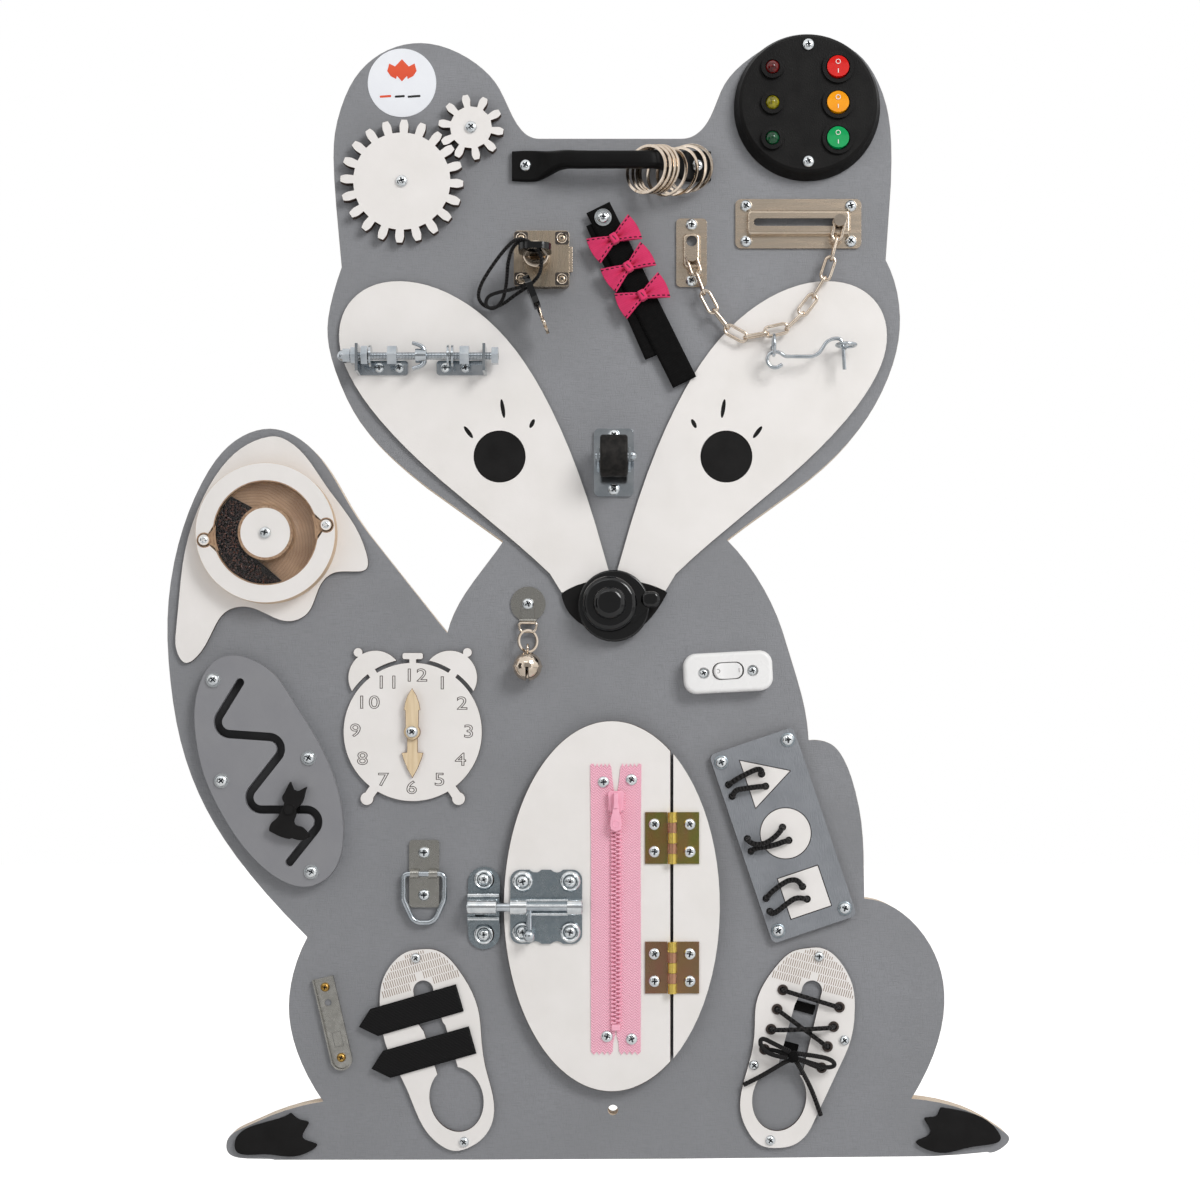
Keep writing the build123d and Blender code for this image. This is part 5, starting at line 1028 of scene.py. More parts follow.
BOW_REACH, BOW_WAIST, BOW_FLARE = 18.0, 3.2, 6.6


def bow_point(side, u, v, front):
    """A place on a bow's wing: u from knot to outer edge, v from one long edge to the other."""
    half = BOW_WAIST + BOW_FLARE * u ** 1.05
    reach = 1.8 + (BOW_REACH - 1.8) * u + 1.5 * u * u * (1 - v * v) - 1.2 * u
    puff = 2.9 * math.sin(math.pi * (0.12 + 0.8 * u)) * (1 - 0.35 * v * v)
    crease = 3.6 * (1 - u) ** 0.7 * math.exp(-(v / (0.18 + 0.25 * u)) ** 2)
    lift = puff - crease if front else -0.75 * puff
    return Vector((side * reach, v * half, 3.4 + lift)), half


def bow_wing(side, front):
    grid = bmesh.new()
    bmesh.ops.create_grid(grid, x_segments=20, y_segments=18, size=0.5)
    along = grid.loops.layers.uv.new("UVMap")
    for face in grid.faces:
        for corner in face.loops:
            u, v = corner.vert.co.x + 0.5, corner.vert.co.y * 2
            half = bow_point(side, u, v, front)[1]
            corner[along].uv = (u * 18.5, half * (1 - abs(v)))
    for vert in grid.verts:
        vert.co = bow_point(side, vert.co.x + 0.5, vert.co.y * 2, front)[0]
    return grid


def bows():
    """Three bows of stitched ribbon: two folded wings each, and a band round the middle."""
    low = STRAP_TOP + 0.3
    shape = bmesh.new()
    shape.loops.layers.uv.new("UVMap")
    for along, lean in ((-23.5, 4), (-45.5, 8), (-67.5, 0)):
        place = STRAP @ at(0, along, low, lean)
        for side in (-1, 1):
            for front in (True, False):
                put(shape, bow_wing(side, front), place)
        put(shape, block(5.4, 7.4, 7.2, 1.3, 3), place @ at(0, 0, 3.6))
        put(shape, block(0.6, 3.6, 0.5, 0.12, 1), place @ at(0, 0, 7.2, 14), 1)
    piece = make("ribbon_bows_sewn", shape, "ribbon_bows", [grosgrain, thread_black],
                 ["ribbon_bows"], crease=55, outwards=False)


strap()
bows()


# ------------------------------------------------------------------ door chain
def chain():
    """Smooth oval links, each laid on the place and turn of the solid link it stands for."""
    shape, source = bmesh.new(), lying_copy("chain_links")
    for group in islands(source):
        places = [vert.co.copy() for vert in group]
        middle = sum(places, Vector()) / len(places)
        tip = max(places, key=lambda place: (place - middle).length)
        long_way = (tip - middle).normalized()
        side = max(places, key=lambda place: (place - middle - (place - middle).dot(long_way) * long_way).length)
        across = side - middle - (side - middle).dot(long_way) * long_way
        across.normalize()
        turn = Matrix((long_way, across, long_way.cross(across))).transposed().to_4x4()
        put(shape, oval_link(19.0, 9.0, 2.3), Matrix.Translation(middle) @ turn)
    source.free()
    piece = make("door_chain_links", shape, None, bright_nickel, ["chain_links"], crease=180,
                 outwards=False)
    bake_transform(piece)


def oval_link(length, width, wire):
    """A link of round wire: two straight sides and two bent ends, its length along X."""
    half, bend = (length - width) / 2, (width - wire) / 2
    steps, outlines = 14, []
    for index in range(2 * steps + 2):
        end = index > steps
        angle = math.radians(-90 + 180 * (index - (steps + 1) * end) / steps + 180 * end)
        outward = Vector((math.cos(angle), math.sin(angle), 0))
        centre = Vector((-half if end else half, 0, 0)) + bend * outward
        outlines.append([centre + wire / 2 * (math.cos(turn) * outward + math.sin(turn) * Vector((0, 0, 1)))
                         for turn in [2 * math.pi * corner / 12 for corner in range(12)]])
    return skin(outlines, closed=True)


chain()


# ------------------------------------------------------------------ threads of the long rod
def threads():
    left, y, z = -186.0, 525.0, FACE + 14.5
    pitch, length = 1.0, 99.0
    profile = [(2.3, 0.0)]
    for turn in range(int(length / pitch)):
        profile += [(2.72, (turn + 0.5) * pitch), (2.3, (turn + 1) * pitch)]
    shape = bmesh.new()
    put(shape, lathe(profile, 24), Matrix.Translation((left + 2, y, z)) @ tilt(90, "Y"))
    make("rod_thread", shape, "board", zinc, crease=20)


threads()


# ------------------------------------------------------------------ seed wheel
SEED_WHEEL_AT = (-240.8, 402.5)
SEED_TOP = OVERLAY_TOP + 0.3 + 12.0


def seed_trough():
    """The turned wooden trough, its pale hub rim and the brown rims round the two cover screws."""
    shape = bmesh.new()
    floor = SEED_TOP - 9.0
    put(shape, lathe([(35.55, SEED_TOP - 2.0), (35.5, floor + 3.0), (34.0, floor + 0.9), (30, floor + 0.15),
                      (24, floor + 0.15), (20.6, floor + 0.9), (19.1, floor + 3.0), (19.05, SEED_TOP - 0.3)], 96))
    rim = lathe([(19.05, SEED_TOP - 3.0), (19.05, SEED_TOP + 0.05), (17.4, SEED_TOP + 0.12),
                 (17.2, SEED_TOP + 0.02), (17.2, SEED_TOP - 3.0)], 96)
    put(shape, rim, None, 1)
    rim = lathe([(36.4, SEED_TOP + 0.02), (36.3, SEED_TOP + 0.12), (35.6, SEED_TOP + 0.12),
                 (35.55, SEED_TOP - 2.0)], 96)
    put(shape, rim, None, 1)
    for angle in (7.0, 187.0):
        spot = at(42.6 * math.cos(math.radians(angle)), 42.6 * math.sin(math.radians(angle)))
        put(shape, lathe([(5.3, SEED_TOP + 0.02), (5.2, SEED_TOP + 0.15), (4.5, SEED_TOP + 0.15),
                          (4.4, SEED_TOP - 1.8)], 32), spot, 1)
        fin = [(34.5 * math.cos(math.radians(angle + turn)), 34.5 * math.sin(math.radians(angle + turn)))
               for turn in (-15, -5, 5, 15)] + [(spot.translation.x, spot.translation.y)]
        put(shape, plate(fin, SEED_TOP - 0.3, SEED_TOP + 0.06), None, 0)
        add_head(shape, spot.translation.x, spot.translation.y, SEED_TOP + 0.1, 3.7, 2.3, 20 + angle, 2, 3)
    bmesh.ops.transform(shape, matrix=at(*SEED_WHEEL_AT), verts=shape.verts)
    rim_brown = finish("scorched rim", srgb(176, 146, 118), srgb(140, 108, 82), (0.5, 0.6),
                       ((700, 700, 700), 0.35, 0.65))
    make("seed_trough_liner", shape, "seed_wheel", [walnut, rim_brown, screw_zinc, screw_recess_shade],
         outwards=False)


def in_heap(x, y):
    """Whether the heap of seeds covers this place in the trough."""
    if y > 0:
        return x < -9 and y < 15.8 - 0.53 * (x + 9.8)
    return x < -9 or y < -20.9 - 0.707 * (x + 9)


def seeds():
    """Small round seeds over the heap in the left of the trough."""
    spots = []
    while len(spots) < 620:
        angle, radius = random.uniform(95, 300), math.sqrt(random.uniform(20.2 ** 2, 34.4 ** 2))
        x, y = radius * math.cos(math.radians(angle)), radius * math.sin(math.radians(angle))
        near = sum((x - a) ** 2 + (y - b) ** 2 < 1.45 ** 2 for a, b in spots[-400:])
        if in_heap(x, y) and not near:
            spots.append((x, y))
        elif near and random.random() < 0.002:
            break
    pebble = bmesh.new()
    bmesh.ops.create_icosphere(pebble, subdivisions=1, radius=1.0)
    mesh = bpy.data.meshes.new("seed")
    pebble.to_mesh(mesh)
    pebble.free()
    shape = bmesh.new()
    for x, y in spots:
        seed = bmesh.new()
        seed.from_mesh(mesh)
        size = random.uniform(0.86, 1.0)
        height = SEED_TOP - 3.5 + random.uniform(0, 0.45)
        put(shape, seed, at(x, y, height, random.uniform(0, 360)) @ Matrix.Diagonal((size, size, size * 0.9, 1)),
            random.randrange(2))
    bmesh.ops.transform(shape, matrix=at(*SEED_WHEEL_AT), verts=shape.verts)
    redder = finish("seed, redder", srgb(100, 64, 52), srgb(58, 38, 33), (0.2, 0.35), ((900, 900, 900), 0.3, 0.7))
    make("seed_heap", shape, "seed_wheel", [seed_brown, redder], crease=80)


seed_trough()
seeds()


# ------------------------------------------------------------------ clock numbers
def clock_numbers():
    spots = {12: (416, 676), 1: (442.6, 683.7), 2: (462.4, 704), 3: (469, 732), 4: (461, 760), 5: (440, 780),
             6: (412, 788), 7: (383.6, 780), 8: (363, 759), 9: (356, 731), 10: (368.5, 703), 11: (388, 683)}
    shape = bmesh.new()
    for number, (column, row) in spots.items():
        text = bpy.data.curves.new("number", "FONT")
        text.body = str(number)
        text.size = 12.6
        text.space_character = 1.12
        text.align_x, text.align_y = "CENTER", "CENTER"
        text.fill_mode = "NONE"
        text.bevel_depth = 0.24
        text.bevel_resolution = 1
        carrier = bpy.data.objects.new("number", text)
        scene.collection.objects.link(carrier)
        mesh = bpy.data.meshes.new_from_object(carrier.evaluated_get(bpy.context.evaluated_depsgraph_get()))
        bpy.data.objects.remove(carrier)
        digit = bmesh.new()
        digit.from_mesh(mesh)
        x, y = (column - MIDDLE_COLUMN) * ELEMENT, LEVEL + (LEVEL_ROW - row) * ELEMENT
        put(shape, digit, at(x, y, OVERLAY_TOP + 0.02) @ Matrix.Diagonal((1.25, 1, 0.4, 1)))
    make("clock_numbers", shape, "board", digit_brown, outwards=False)


def clock_hands():
    """Arrow hands of thin bare plywood with scorched edges."""
    x, y = -139.9, 264.6
    long_hand = [(4.4, 3.4), (4.6, 15.0), (5.7, 15.3), (4.9, 20.0), (3.0, 25.5), (0, 30.4), (-3.0, 25.5),
                 (-4.9, 20.0), (-5.7, 15.3), (-4.6, 15.0), (-4.4, 3.4)]
    long_hand += [(5.6 * math.cos(math.radians(a)), 5.6 * math.sin(math.radians(a))) for a in range(150, 391, 12)]
    short_hand = [(-3.6, -4.2), (-3.7, -14.2), (-7.5, -14.6), (-6.4, -18.5), (-3.4, -26.0), (0, -32.0),
                  (3.4, -26.0), (6.4, -18.5), (7.5, -14.6), (3.7, -14.2), (3.6, -4.2)]
    short_hand += [(5.6 * math.cos(math.radians(a)), 5.6 * math.sin(math.radians(a))) for a in range(-48, 229, 12)]
    for node, outline, low in (("hour_hand", short_hand, OVERLAY_TOP + 0.3),
                               ("minute_hand", long_hand, OVERLAY_TOP + 3.0)):
        shape = bmesh.new()
        put(shape, plate(outline, low, low + 2.4, 0.2, 1), at(x, y))
        make(node + "_sawn", shape, node, bare_ply, [node])


SHOE_TOES = [[(-131, 113), (-119, 110), (-109, 100), (-99, 84), (-94, 70), (-92, 51), (-158, 44), (-163, 75),
              (-161, 91), (-155, 102), (-144, 111)],
             [(139, 114), (150, 112), (161, 101), (168, 85), (169, 71), (166, 49), (97, 41), (99, 58), (100, 75),
              (105, 88), (114, 101), (125, 111)]]


def well_inside(outline, x, y, margin):
    """Whether a place lies in an outline with this much margin, seen from eight sides."""
    for turn in range(8):
        px, py = x + margin * math.cos(turn * math.pi / 4), y + margin * math.sin(turn * math.pi / 4)
        crossings = 0
        for (ax, ay), (bx, by) in zip(outline, outline[1:] + outline[:1]):
            crossings += (ay > py) != (by > py) and px < ax + (py - ay) * (bx - ax) / (by - ay)
        if crossings % 2 == 0:
            return False
    return True


def toe_hatch():
    """Burnt dashes in staggered columns across the toes of the two shoes."""
    shape = bmesh.new()
    for outline, x, y, angle in ((SHOE_TOES[0], -130.0, 84.5, 16.1), (SHOE_TOES[1], 135.4, 84.0, -15.0)):
        for column in range(-21, 22):
            for row in range(6):
                u, v = (column + 0.5 * (row % 2)) * 1.6, 5.1 + row * 5.6
                if math.hypot(u + 2.5 * math.copysign(1, angle), v - 2.5) < 8.6:
                    continue
                for half, shift in ((2.55, 0.0), (1.9, -0.65), (1.2, -1.35), (1.9, 0.65), (1.2, 1.35)):
                    place = at(x, y, 0, angle) @ at(u, v + shift)
                    ends = [place @ Vector((0, reach, 0)) for reach in (-half, half)]
                    if all(well_inside(outline, *end.xy, 0.55) for end in ends):
                        put(shape, plate(rounded(0.5, 2 * half, 0.2, 1), OVERLAY_TOP, OVERLAY_TOP + 0.07), place)
                        break
    line = finish("scorched hatching", srgb(160, 138, 120), srgb(140, 116, 98), (0.6, 0.7))
    make("toe_hatching", shape, "board", line)


clock_numbers()
clock_hands()
toe_hatch()


# ------------------------------------------------------------------ eyelashes, maze floor, switch marks
def lashes():
    shape = bmesh.new()
    for start, end in [((-78, 497), (-76, 484)), ((-104, 478), (-98, 470)), ((-55, 483), (-58, 477))]:
        for side in (-1, 1):
            angle = math.degrees(math.atan2(end[1] - start[1], side * (end[0] - start[0])))
            length = math.dist(start, end)
            oval = [(length / 2 * math.cos(t / 12 * math.pi), 1.36 * math.sin(t / 12 * math.pi)) for t in range(24)]
            put(shape, plate(oval, FACE, OVERLAY_TOP - 0.25),
                at(side * (start[0] + end[0]) / 2, (start[1] + end[1]) / 2, 0, angle))
    make("lash_inlays", shape, "board", black_paint)


def maze_floor():
    outline = [(-252, 311), (-274, 309), (-286, 289), (-286, 259), (-281, 237), (-271, 215), (-257, 192),
               (-240, 173), (-226, 163), (-213, 161), (-199, 169), (-192, 190), (-193, 210), (-204, 246),
               (-229, 288)]
    make("maze_groove_floor", plate(outline, FACE, FACE + 0.2), "board", groove_dark)


def switch_marks():
    place = at(80.0, 306.2, FACE, 3) @ at(0, 0.8, 11.5) @ tilt(6, "Y")
    shape = bmesh.new()
    put(shape, lathe([(1.5, 0.0), (1.5, 0.1), (1.1, 0.1), (1.1, 0.0)], 24), place @ at(-7.4, 0, 1.72))
    put(shape, plate(rounded(0.5, 3.0, 0.2), 0.0, 0.1), place @ at(7.4, 0, 1.72))
    grey = finish("grey print", srgb(150, 148, 146), srgb(140, 138, 136), (0.4, 0.5))
    make("switch_marks", shape, "cord_switch_rocker", grey)


lashes()
maze_floor()
switch_marks()


# ------------------------------------------------------------------ shoe straps and laces
def shoe_straps():
    for name, right, left_end in (("shoe_strap_top", (-106.9, 79.1), (-177.3, 58.8)),
                                  ("shoe_strap_low", (-98.0, 49.7), (-168.6, 29.6))):
        reach = math.dist(right, left_end)
        angle = math.degrees(math.atan2(right[1] - left_end[1], right[0] - left_end[0]))
        place = at(*right, OVERLAY_TOP + 0.3, angle - 90)
        ribbon(name, 19.6, reach, 1.4, place, "shoe_straps", satin_black, wave=0.12,
               point=11.0,
               replaces=["shoe_straps"])


shoe_straps()

EYELETS = [(118.6, 84.5), (114.6, 71.0), (110.4, 57.0), (105.8, 43.0),
           (158.1, 72.4), (154.0, 58.8), (149.8, 44.9), (145.7, 30.1)]
EYELET_RIM, LACE_RADIUS = 0.8, 1.6
LACE_LOW = FACE + 0.5
LACE_REST = OVERLAY_TOP + EYELET_RIM + LACE_RADIUS + 0.3


def between(start, end, share):
    return start[0] + share * (end[0] - start[0]), start[1] + share * (end[1] - start[1])


def laces():
    for order, (left, right, lift) in enumerate([(0, 4, 0.0), (1, 6, 0.0), (2, 5, 4.4)]):
        a, b = EYELETS[left], EYELETS[right]
        rise = LACE_REST + lift / 4 + 0.8
        over = [(*between(a, b, 0.25), LACE_REST + lift + 0.4), (*between(a, b, 0.75), LACE_REST + lift + 0.4)]
        cord(f"lace_rung_{order}", [(*a, LACE_LOW), (*a, rise), *over, (*b, rise), (*b, LACE_LOW)],
             LACE_RADIUS, short_braid, replaces=["shoe_lace"])
    rest = LACE_REST
    cord("lace_loop_left", [(123, 42.5, rest + 7), (112, 48, rest + 6), (103, 52.5, rest + 4.6),
                            (102, 46.5, rest + 4.4), (110, 39.5, rest + 5.2), (121, 38.5, rest + 7)],
         LACE_RADIUS, braid)
    cord("lace_loop_right", [(127, 41.5, rest + 7), (139, 40, rest + 6.4), (151, 37.5, rest + 5.6),
                             (155, 33, rest + 5), (149, 31, rest + 5.4), (137, 35, rest + 6.4),
                             (128, 37.8, rest + 7)], LACE_RADIUS, braid)
    cord("lace_end_left", [(145.7, 30.1, LACE_LOW), (145.7, 30.1, rest + 0.6), (139, 32.5, rest + 2.4),
                           (132, 36, rest + 4.4), (124, 38, rest + 5.8), (113, 31, rest + 2.4),
                           (102, 24, rest + 0.8), (91, 18.5, rest - 0.4)], LACE_RADIUS, braid)
    cord("lace_end_right", [(105.8, 43.0, LACE_LOW), (105.8, 43.0, rest + 0.6), (112, 43.2, rest + 2.4),
                            (118, 41.5, rest + 4.4), (126, 38, rest + 5.8), (133, 26, rest + 2.4),
                            (140, 12, rest + 0.6), (145, -3, rest - 1.4)], LACE_RADIUS, braid)
    # dark blocks in the shoe's slot: they stand for the black lace strands crossing behind the plate and for
    # painted shade in the slot
    slot_dark_blocks = bmesh.new()
    for x, y in ((133.7, 72.0), (122.0, 44.5)):
        put(slot_dark_blocks, block(15.0, 7.0, 1.2, 0.4), at(x, y, FACE + 0.9, -15))
    make("shoe_slot_lace_and_shade", slot_dark_blocks, "board", strap_black)
    knot = block(7.0, 8.0, 6.4, 2.4, 4)
    place = at(125, 39.2, rest + 6.8, 12)
    bmesh.ops.transform(knot, matrix=place, verts=knot.verts)
    make("lace_knot", knot, "board", strap_black)


laces()

LACING_PANEL_TOP, LACING_RADIUS = FACE + 5, 1.9
PANEL_HOLES = [(80.5, 227.8), (83.1, 219.7), (93.7, 190.1), (96.3, 181.4), (106.8, 148.5), (109.4, 139.5)]
SHAPE_HOLES = [(103.6, 235.3), (106.4, 226.7), (118.2, 198.1), (122.6, 189.0), (132.2, 156.7), (135.4, 148.0)]


def lacing_cords():
    """Arches of cord from the panel to its inset shapes, each with its own sideways swing."""
    low, top = FACE + 1, LACING_PANEL_TOP + LACING_RADIUS
    arches = [[(86.5, 232.2), (93.3, 235.6), (99.7, 238.7), (103.4, 238.4)],
              [(85.2, 224.3), (92.3, 225.3), (100.8, 226.5)],
              [(95.4, 187.3), (102.4, 186.0), (109.1, 188.9), (115.0, 194.0)],
              [(99.3, 183.9), (105.8, 184.5), (113.2, 186.1), (118.2, 188.2)],
              [(109.4, 152.6), (116.2, 158.0), (122.4, 161.7), (128.3, 161.7)],
              [(109.9, 138.0), (114.2, 139.6), (120.8, 145.2), (127.5, 149.7)]]
    for order, middle in enumerate(arches):
        a, b = PANEL_HOLES[order], SHAPE_HOLES[order]
        lift = 2.6 if order != 2 else 4.8
        route = [(*a, low), (*a, top + 0.6)] + [(*place, top + lift) for place in middle]
        cord(f"lacing_arch_{order}", route + [(*b, top + 0.6), (*b, low)], LACING_RADIUS, short_braid,
             replaces=["lacing_cord"])


def lacing_washers():
    shape, low = bmesh.new(), LACING_PANEL_TOP
    washer = [(2.2, low), (4.9, low), (4.9, low + 0.5), (4.4, low + 0.9), (2.2, low + 1.3)]
    for x, y in ((75.5, 243.4), (121.9, 259.1), (115.3, 125.9), (161.7, 141.6)):
        put(shape, lathe(washer, 32), at(x, y))
    make("lacing_washers", shape, "board", dull_zinc)


lacing_washers()
lacing_cords()


# ------------------------------------------------------------------ barrel bolt, lock corners, wing nut, handle
BOLT_Y, BOLT_Z, BOLT_SHEET = 143.0, 31.55, 1.6
CUP = [(7.4, 0), (7.3, 0.8), (6.5, 1.8), (5.7, 2.1), (5.0, 1.8), (4.4, 0.8), (4.2, 0)]


def barrel_bolt_details():
    """Pressed ribs and the closed cover of the keeper, and a cup washer under every screw."""
    keeper, plate_top = bmesh.new(), DOOR_TOP + BOLT_SHEET
    left = -90.2
    cover = [(0, 0), (3.4, 0), (4.6, 0.5), (5.2, 1.6), (5.25, 20.4), (5.0, 20.7), (4.4, 20.7), (4.3, 20.2)]
    put(keeper, lathe(cover, 40), Matrix.Translation((left - 11.4, BOLT_Y, BOLT_Z - 0.35)) @ tilt(90, "Y"))
    for offset, radius in ((7.6, 1.7), (-8.2, 1.7)):
        rib = lathe([(0, 0), (radius, 0.3), (radius, 22.0), (0, 22.3)], 20)
        put(keeper, rib, Matrix.Translation((left - 11.1, BOLT_Y + offset, 26.7)) @ tilt(90, "Y"))
    for dy in (18.4, -20.0):
        put(keeper, lathe(CUP, 40), at(left, BOLT_Y + dy, FACE + BOLT_SHEET))
        add_head(keeper, left, BOLT_Y + dy, FACE + 2.2, 4.2, 2.5, 15 + dy, 0, 1)
    make("bolt_keeper_fittings", keeper, "board", [screw_zinc, screw_recess_shade])

    fittings = bmesh.new()
    for dx, dy in [(-16.4, 17.5), (16.6, 17.5), (-16.4, -17.6), (16.6, -17.6)]:
        put(fittings, lathe(CUP, 40), at(-46.4 + dx, BOLT_Y + dy, plate_top))
        add_head(fittings, -46.4 + dx, BOLT_Y + dy, plate_top + 0.6, 4.2, 2.5, 10 * dx, 0, 1)
    for low, high in ((-71.4, -59.6), (-31.9, -21.4)):
        sleeve = [(3.6, 0), (5.4, 0), (5.6, 0.3), (5.6, high - low - 0.3), (5.4, high - low), (3.6, high - low)]
        put(fittings, lathe(sleeve, 40), Matrix.Translation((low, BOLT_Y, BOLT_Z)) @ tilt(90, "Y"))
    for dy, dz, thick in ((4.9, 1.6, 2.4), (1.3, 4.3, 2.0), (-4.9, 1.6, 2.4)):
        put(fittings, block(29.0, thick, 1.9, 0.7, 3),
            Matrix.Translation((-45.75, BOLT_Y + dy, BOLT_Z + dz)) @ tilt(-math.degrees(math.atan2(dy, dz)), "X"))
    make("bolt_plate_fittings", fittings, "door", [screw_zinc, screw_recess_shade])


def lock_corners():
    """Sunk corners of the lock case, darkened with painted shade, with a sleeved screw in each."""
    shape = bmesh.new()
    top = FACE + 7.5
    for dx, dy in ((14.2, 14.2), (14.2, -14.2), (-14.2, -14.2), (-14.2, 14.2)):
        x, y = -49.8 + dx, 594.2 + dy
        # a thin dark sheet of painted shade on the floor of the sunk corner
        put(shape, plate(rounded(9.4, 9.0, 1.4), top, top + 0.1), at(x, y), 2)
        put(shape, lathe([(3.7, top), (3.7, top + 0.7), (3.4, top + 0.9), (3.0, top + 0.7), (3.0, top)], 32),
            at(x, y), 4)
        add_head(shape, x, y, top + 0.05, 2.5, 0.7, 40 + dx + dy, 3, 1)
    make("lock_corner_screws", shape, "board", [nickel, screw_recess_shade, sunk_corner_shade, lock_nickel, bright_nickel])


def wing_nut():
    """A cast nut whose two wings curl away to one side."""
    low, high = [LIE @ Vector(corner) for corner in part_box("wing_nut")]
    x, y, z = [(a + b) / 2 for a, b in zip(low, high)]
    shape = bmesh.new()
    put(shape, lathe([(2.6, 0), (4.9, 0), (5.1, 1.2), (4.2, 7.6), (2.6, 8.0)], 32),
        Matrix.Translation((x - 3.4, y, z)) @ tilt(90, "Y"))
    for side in (-1, 1):
        keys = [(2.4, 2.8, 0, 3.8, 4.6), (2.2, 4.8, 0, 3.4, 4.6), (0.6, 6.6, 0, 3.0, 4.8), (-2.2, 7.9, 0, 2.6, 5.2),
                (-5.6, 8.9, 0, 2.3, 5.4)]
        rows = spline_through(keys, 16)
        outlines = []
        for index, (dx, dy, dz, thick, wide) in enumerate(rows):
            before, after = rows[max(index - 1, 0)], rows[min(index + 1, 15)]
            turn = math.degrees(math.atan2(after[1] - before[1], after[0] - before[0]))
            place = at(dx, dy, dz, turn) @ tilt(90, "Y") @ tilt(90, "Z")
            outlines.append([place @ Vector((u, w, 0)) for u, w in rounded(thick, wide, thick * 0.45, 3)])
        put(shape, skin(outlines), at(x, y, z) @ Matrix.Diagonal((1, side, 1, 1)))
    make("wing_nut_cast", shape, "wing_nut", zinc, ["wing_nut"], crease=50)


def handle():
    """The pull handle: flat screwed pads that flare and lift into a rounded bar."""
    half = [(69.5, 0, 2.0, 20.5, 4.0), (60.0, 0, 2.0, 21.5, 4.0), (52.0, 0, 2.3, 21.0, 4.6),
            (45.0, 0.5, 6.0, 17.5, 6.4), (38.0, 0.8, 12.0, 14.0, 7.8), (31.0, 0.5, 16.8, 12.6, 8.2),
            (22.0, 0, 18.0, 12.2, 8.0), (8.0, 0, 18.0, 12.0, 8.0)]
    keys = [(-x, *rest) for x, *rest in half] + half[::-1]
    bar = loft(keys, 72, 0.4)
    bmesh.ops.transform(bar, matrix=at(*HANDLE_AT, FACE), verts=bar.verts)
    make("pull_handle_bar", bar, "board", grained_black, ["pull_handle"], crease=60)


barrel_bolt_details()
lock_corners()
wing_nut()
handle()


# ------------------------------------------------------------------ zip
ZIP_AT = (2.0, 141.5)
TAPE_THICK, TEETH_HIGH = 0.8, 2.2


def zip_tape():
    """Two woven tapes with pinked ends, and the moulded teeth that hold them together."""
    x, y = ZIP_AT
    shape = bmesh.new()
    low, high = DOOR_TOP, DOOR_TOP + TAPE_THICK
    for side in (-1, 1):
        top = []
        for notch in range(5):
            inner, outer = 3.2 + notch * 2.8, 3.2 + (notch + 0.5) * 2.8
            top += [(side * inner, 98.3), (side * outer, 101.2)]
        bottom = []
        for notch in range(4):
            inner, outer = 2.2 + notch * 3.7, 2.2 + (notch + 0.5) * 3.7
            bottom += [(side * inner, -99.0), (side * outer, -101.5)]
        outline = [(side * 0.3, -83), (side * 0.6, -88), (side * 1.9, -93)] + bottom + [(side * 17.2, -99.5)]
        outline += [(side * 17.4, -40), (side * 17.2, 40), (side * 17.7, 100.4)] + top[::-1]
        outline += [(side * 2.6, 92), (side * 1.6, 84), (side * 0.15, 76)]
        put(shape, plate(outline, low, high), at(x, y))
    for spot in ((-8.6, 88.2), (10.8, 89.8), (-6.2, -88.7), (10.9, -90.5)):
        put(shape, lathe([(4.7, high), (4.6, high + 0.12), (0, high + 0.12)], 24), at(x + spot[0], y + spot[1]))
    make("zip_tape_woven", shape, "door", pink_tape, ["zip_tape"], crease=30)

    teeth = bmesh.new()
    pitch, count = 2.9, 54
    for row in range(count):
        for side in (-1, 1):
            height = y - 79.0 + row * pitch + (pitch / 2 if side > 0 else 0)
            if height > y + 72:
                continue
            put(teeth, block(3.9, 1.25, 2.3, 0.35, 1), at(x + side * 1.55, height, high + 1.1))
            put(teeth, block(1.7, 2.1, 1.7, 0.35, 1), at(x + side * 2.7, height, high + 0.9))
    put(teeth, block(6.0, 4.4, 2.9, 0.7, 2), at(x, y - 82.2, high + 1.4))
    make("zip_teeth", teeth, "door", pink_plastic)


def zip_slider():
    x, y = ZIP_AT[0], ZIP_AT[1] + 75.0
    top = DOOR_TOP + TAPE_THICK + TEETH_HIGH + 0.3
    shape = bmesh.new()
    body = [(-5.7, 5.5), (-4.6, 7.4), (0, 7.0), (4.6, 7.4), (5.7, 5.5), (4.9, -2), (4.2, -7.2), (2.0, -7.7),
            (-2.0, -7.7), (-4.2, -7.2), (-4.9, -2)]
    put(shape, plate(body, top, top + 2.1, 0.6, 3), at(x, y))
    for side in (-1, 1):
        put(shape, block(1.5, 12.6, top - DOOR_TOP, 0.4), at(x + side * 4.7, y - 0.2, (top + DOOR_TOP) / 2 + 1.0))
    for low, length, height in ((-3.6, 3.0, 4.2), (4.4, 3.0, 4.2)):
        put(shape, block(3.2, length, height, 0.6), at(x, y + low, top + 3.2))
    put(shape, block(3.2, 10.5, 1.6, 0.7), at(x, y + 0.4, top + 5.2))
    outline = [(-2.2, 6.2), (2.2, 6.2), (2.5, 0), (3.6, -3.4), (4.2, -8.0), (3.4, -11.6), (0, -13.2), (-3.4, -11.6),
               (-4.2, -8.0), (-3.6, -3.4), (-2.5, 0)]
    put(shape, plate(outline, 0, 1.7, 0.5, 3), at(x, y - 8.0, top + 3.0))
    put(shape, lathe([(2.6, 1.65), (2.3, 2.0), (1.9, 1.8), (1.8, 0.9), (0, 0.9)], 28), at(x, y - 15.6, top + 3.0))
    make("zip_slider_pull", shape, "zip_slider", pink_plastic, ["zip_slider"])


zip_tape()
zip_slider()


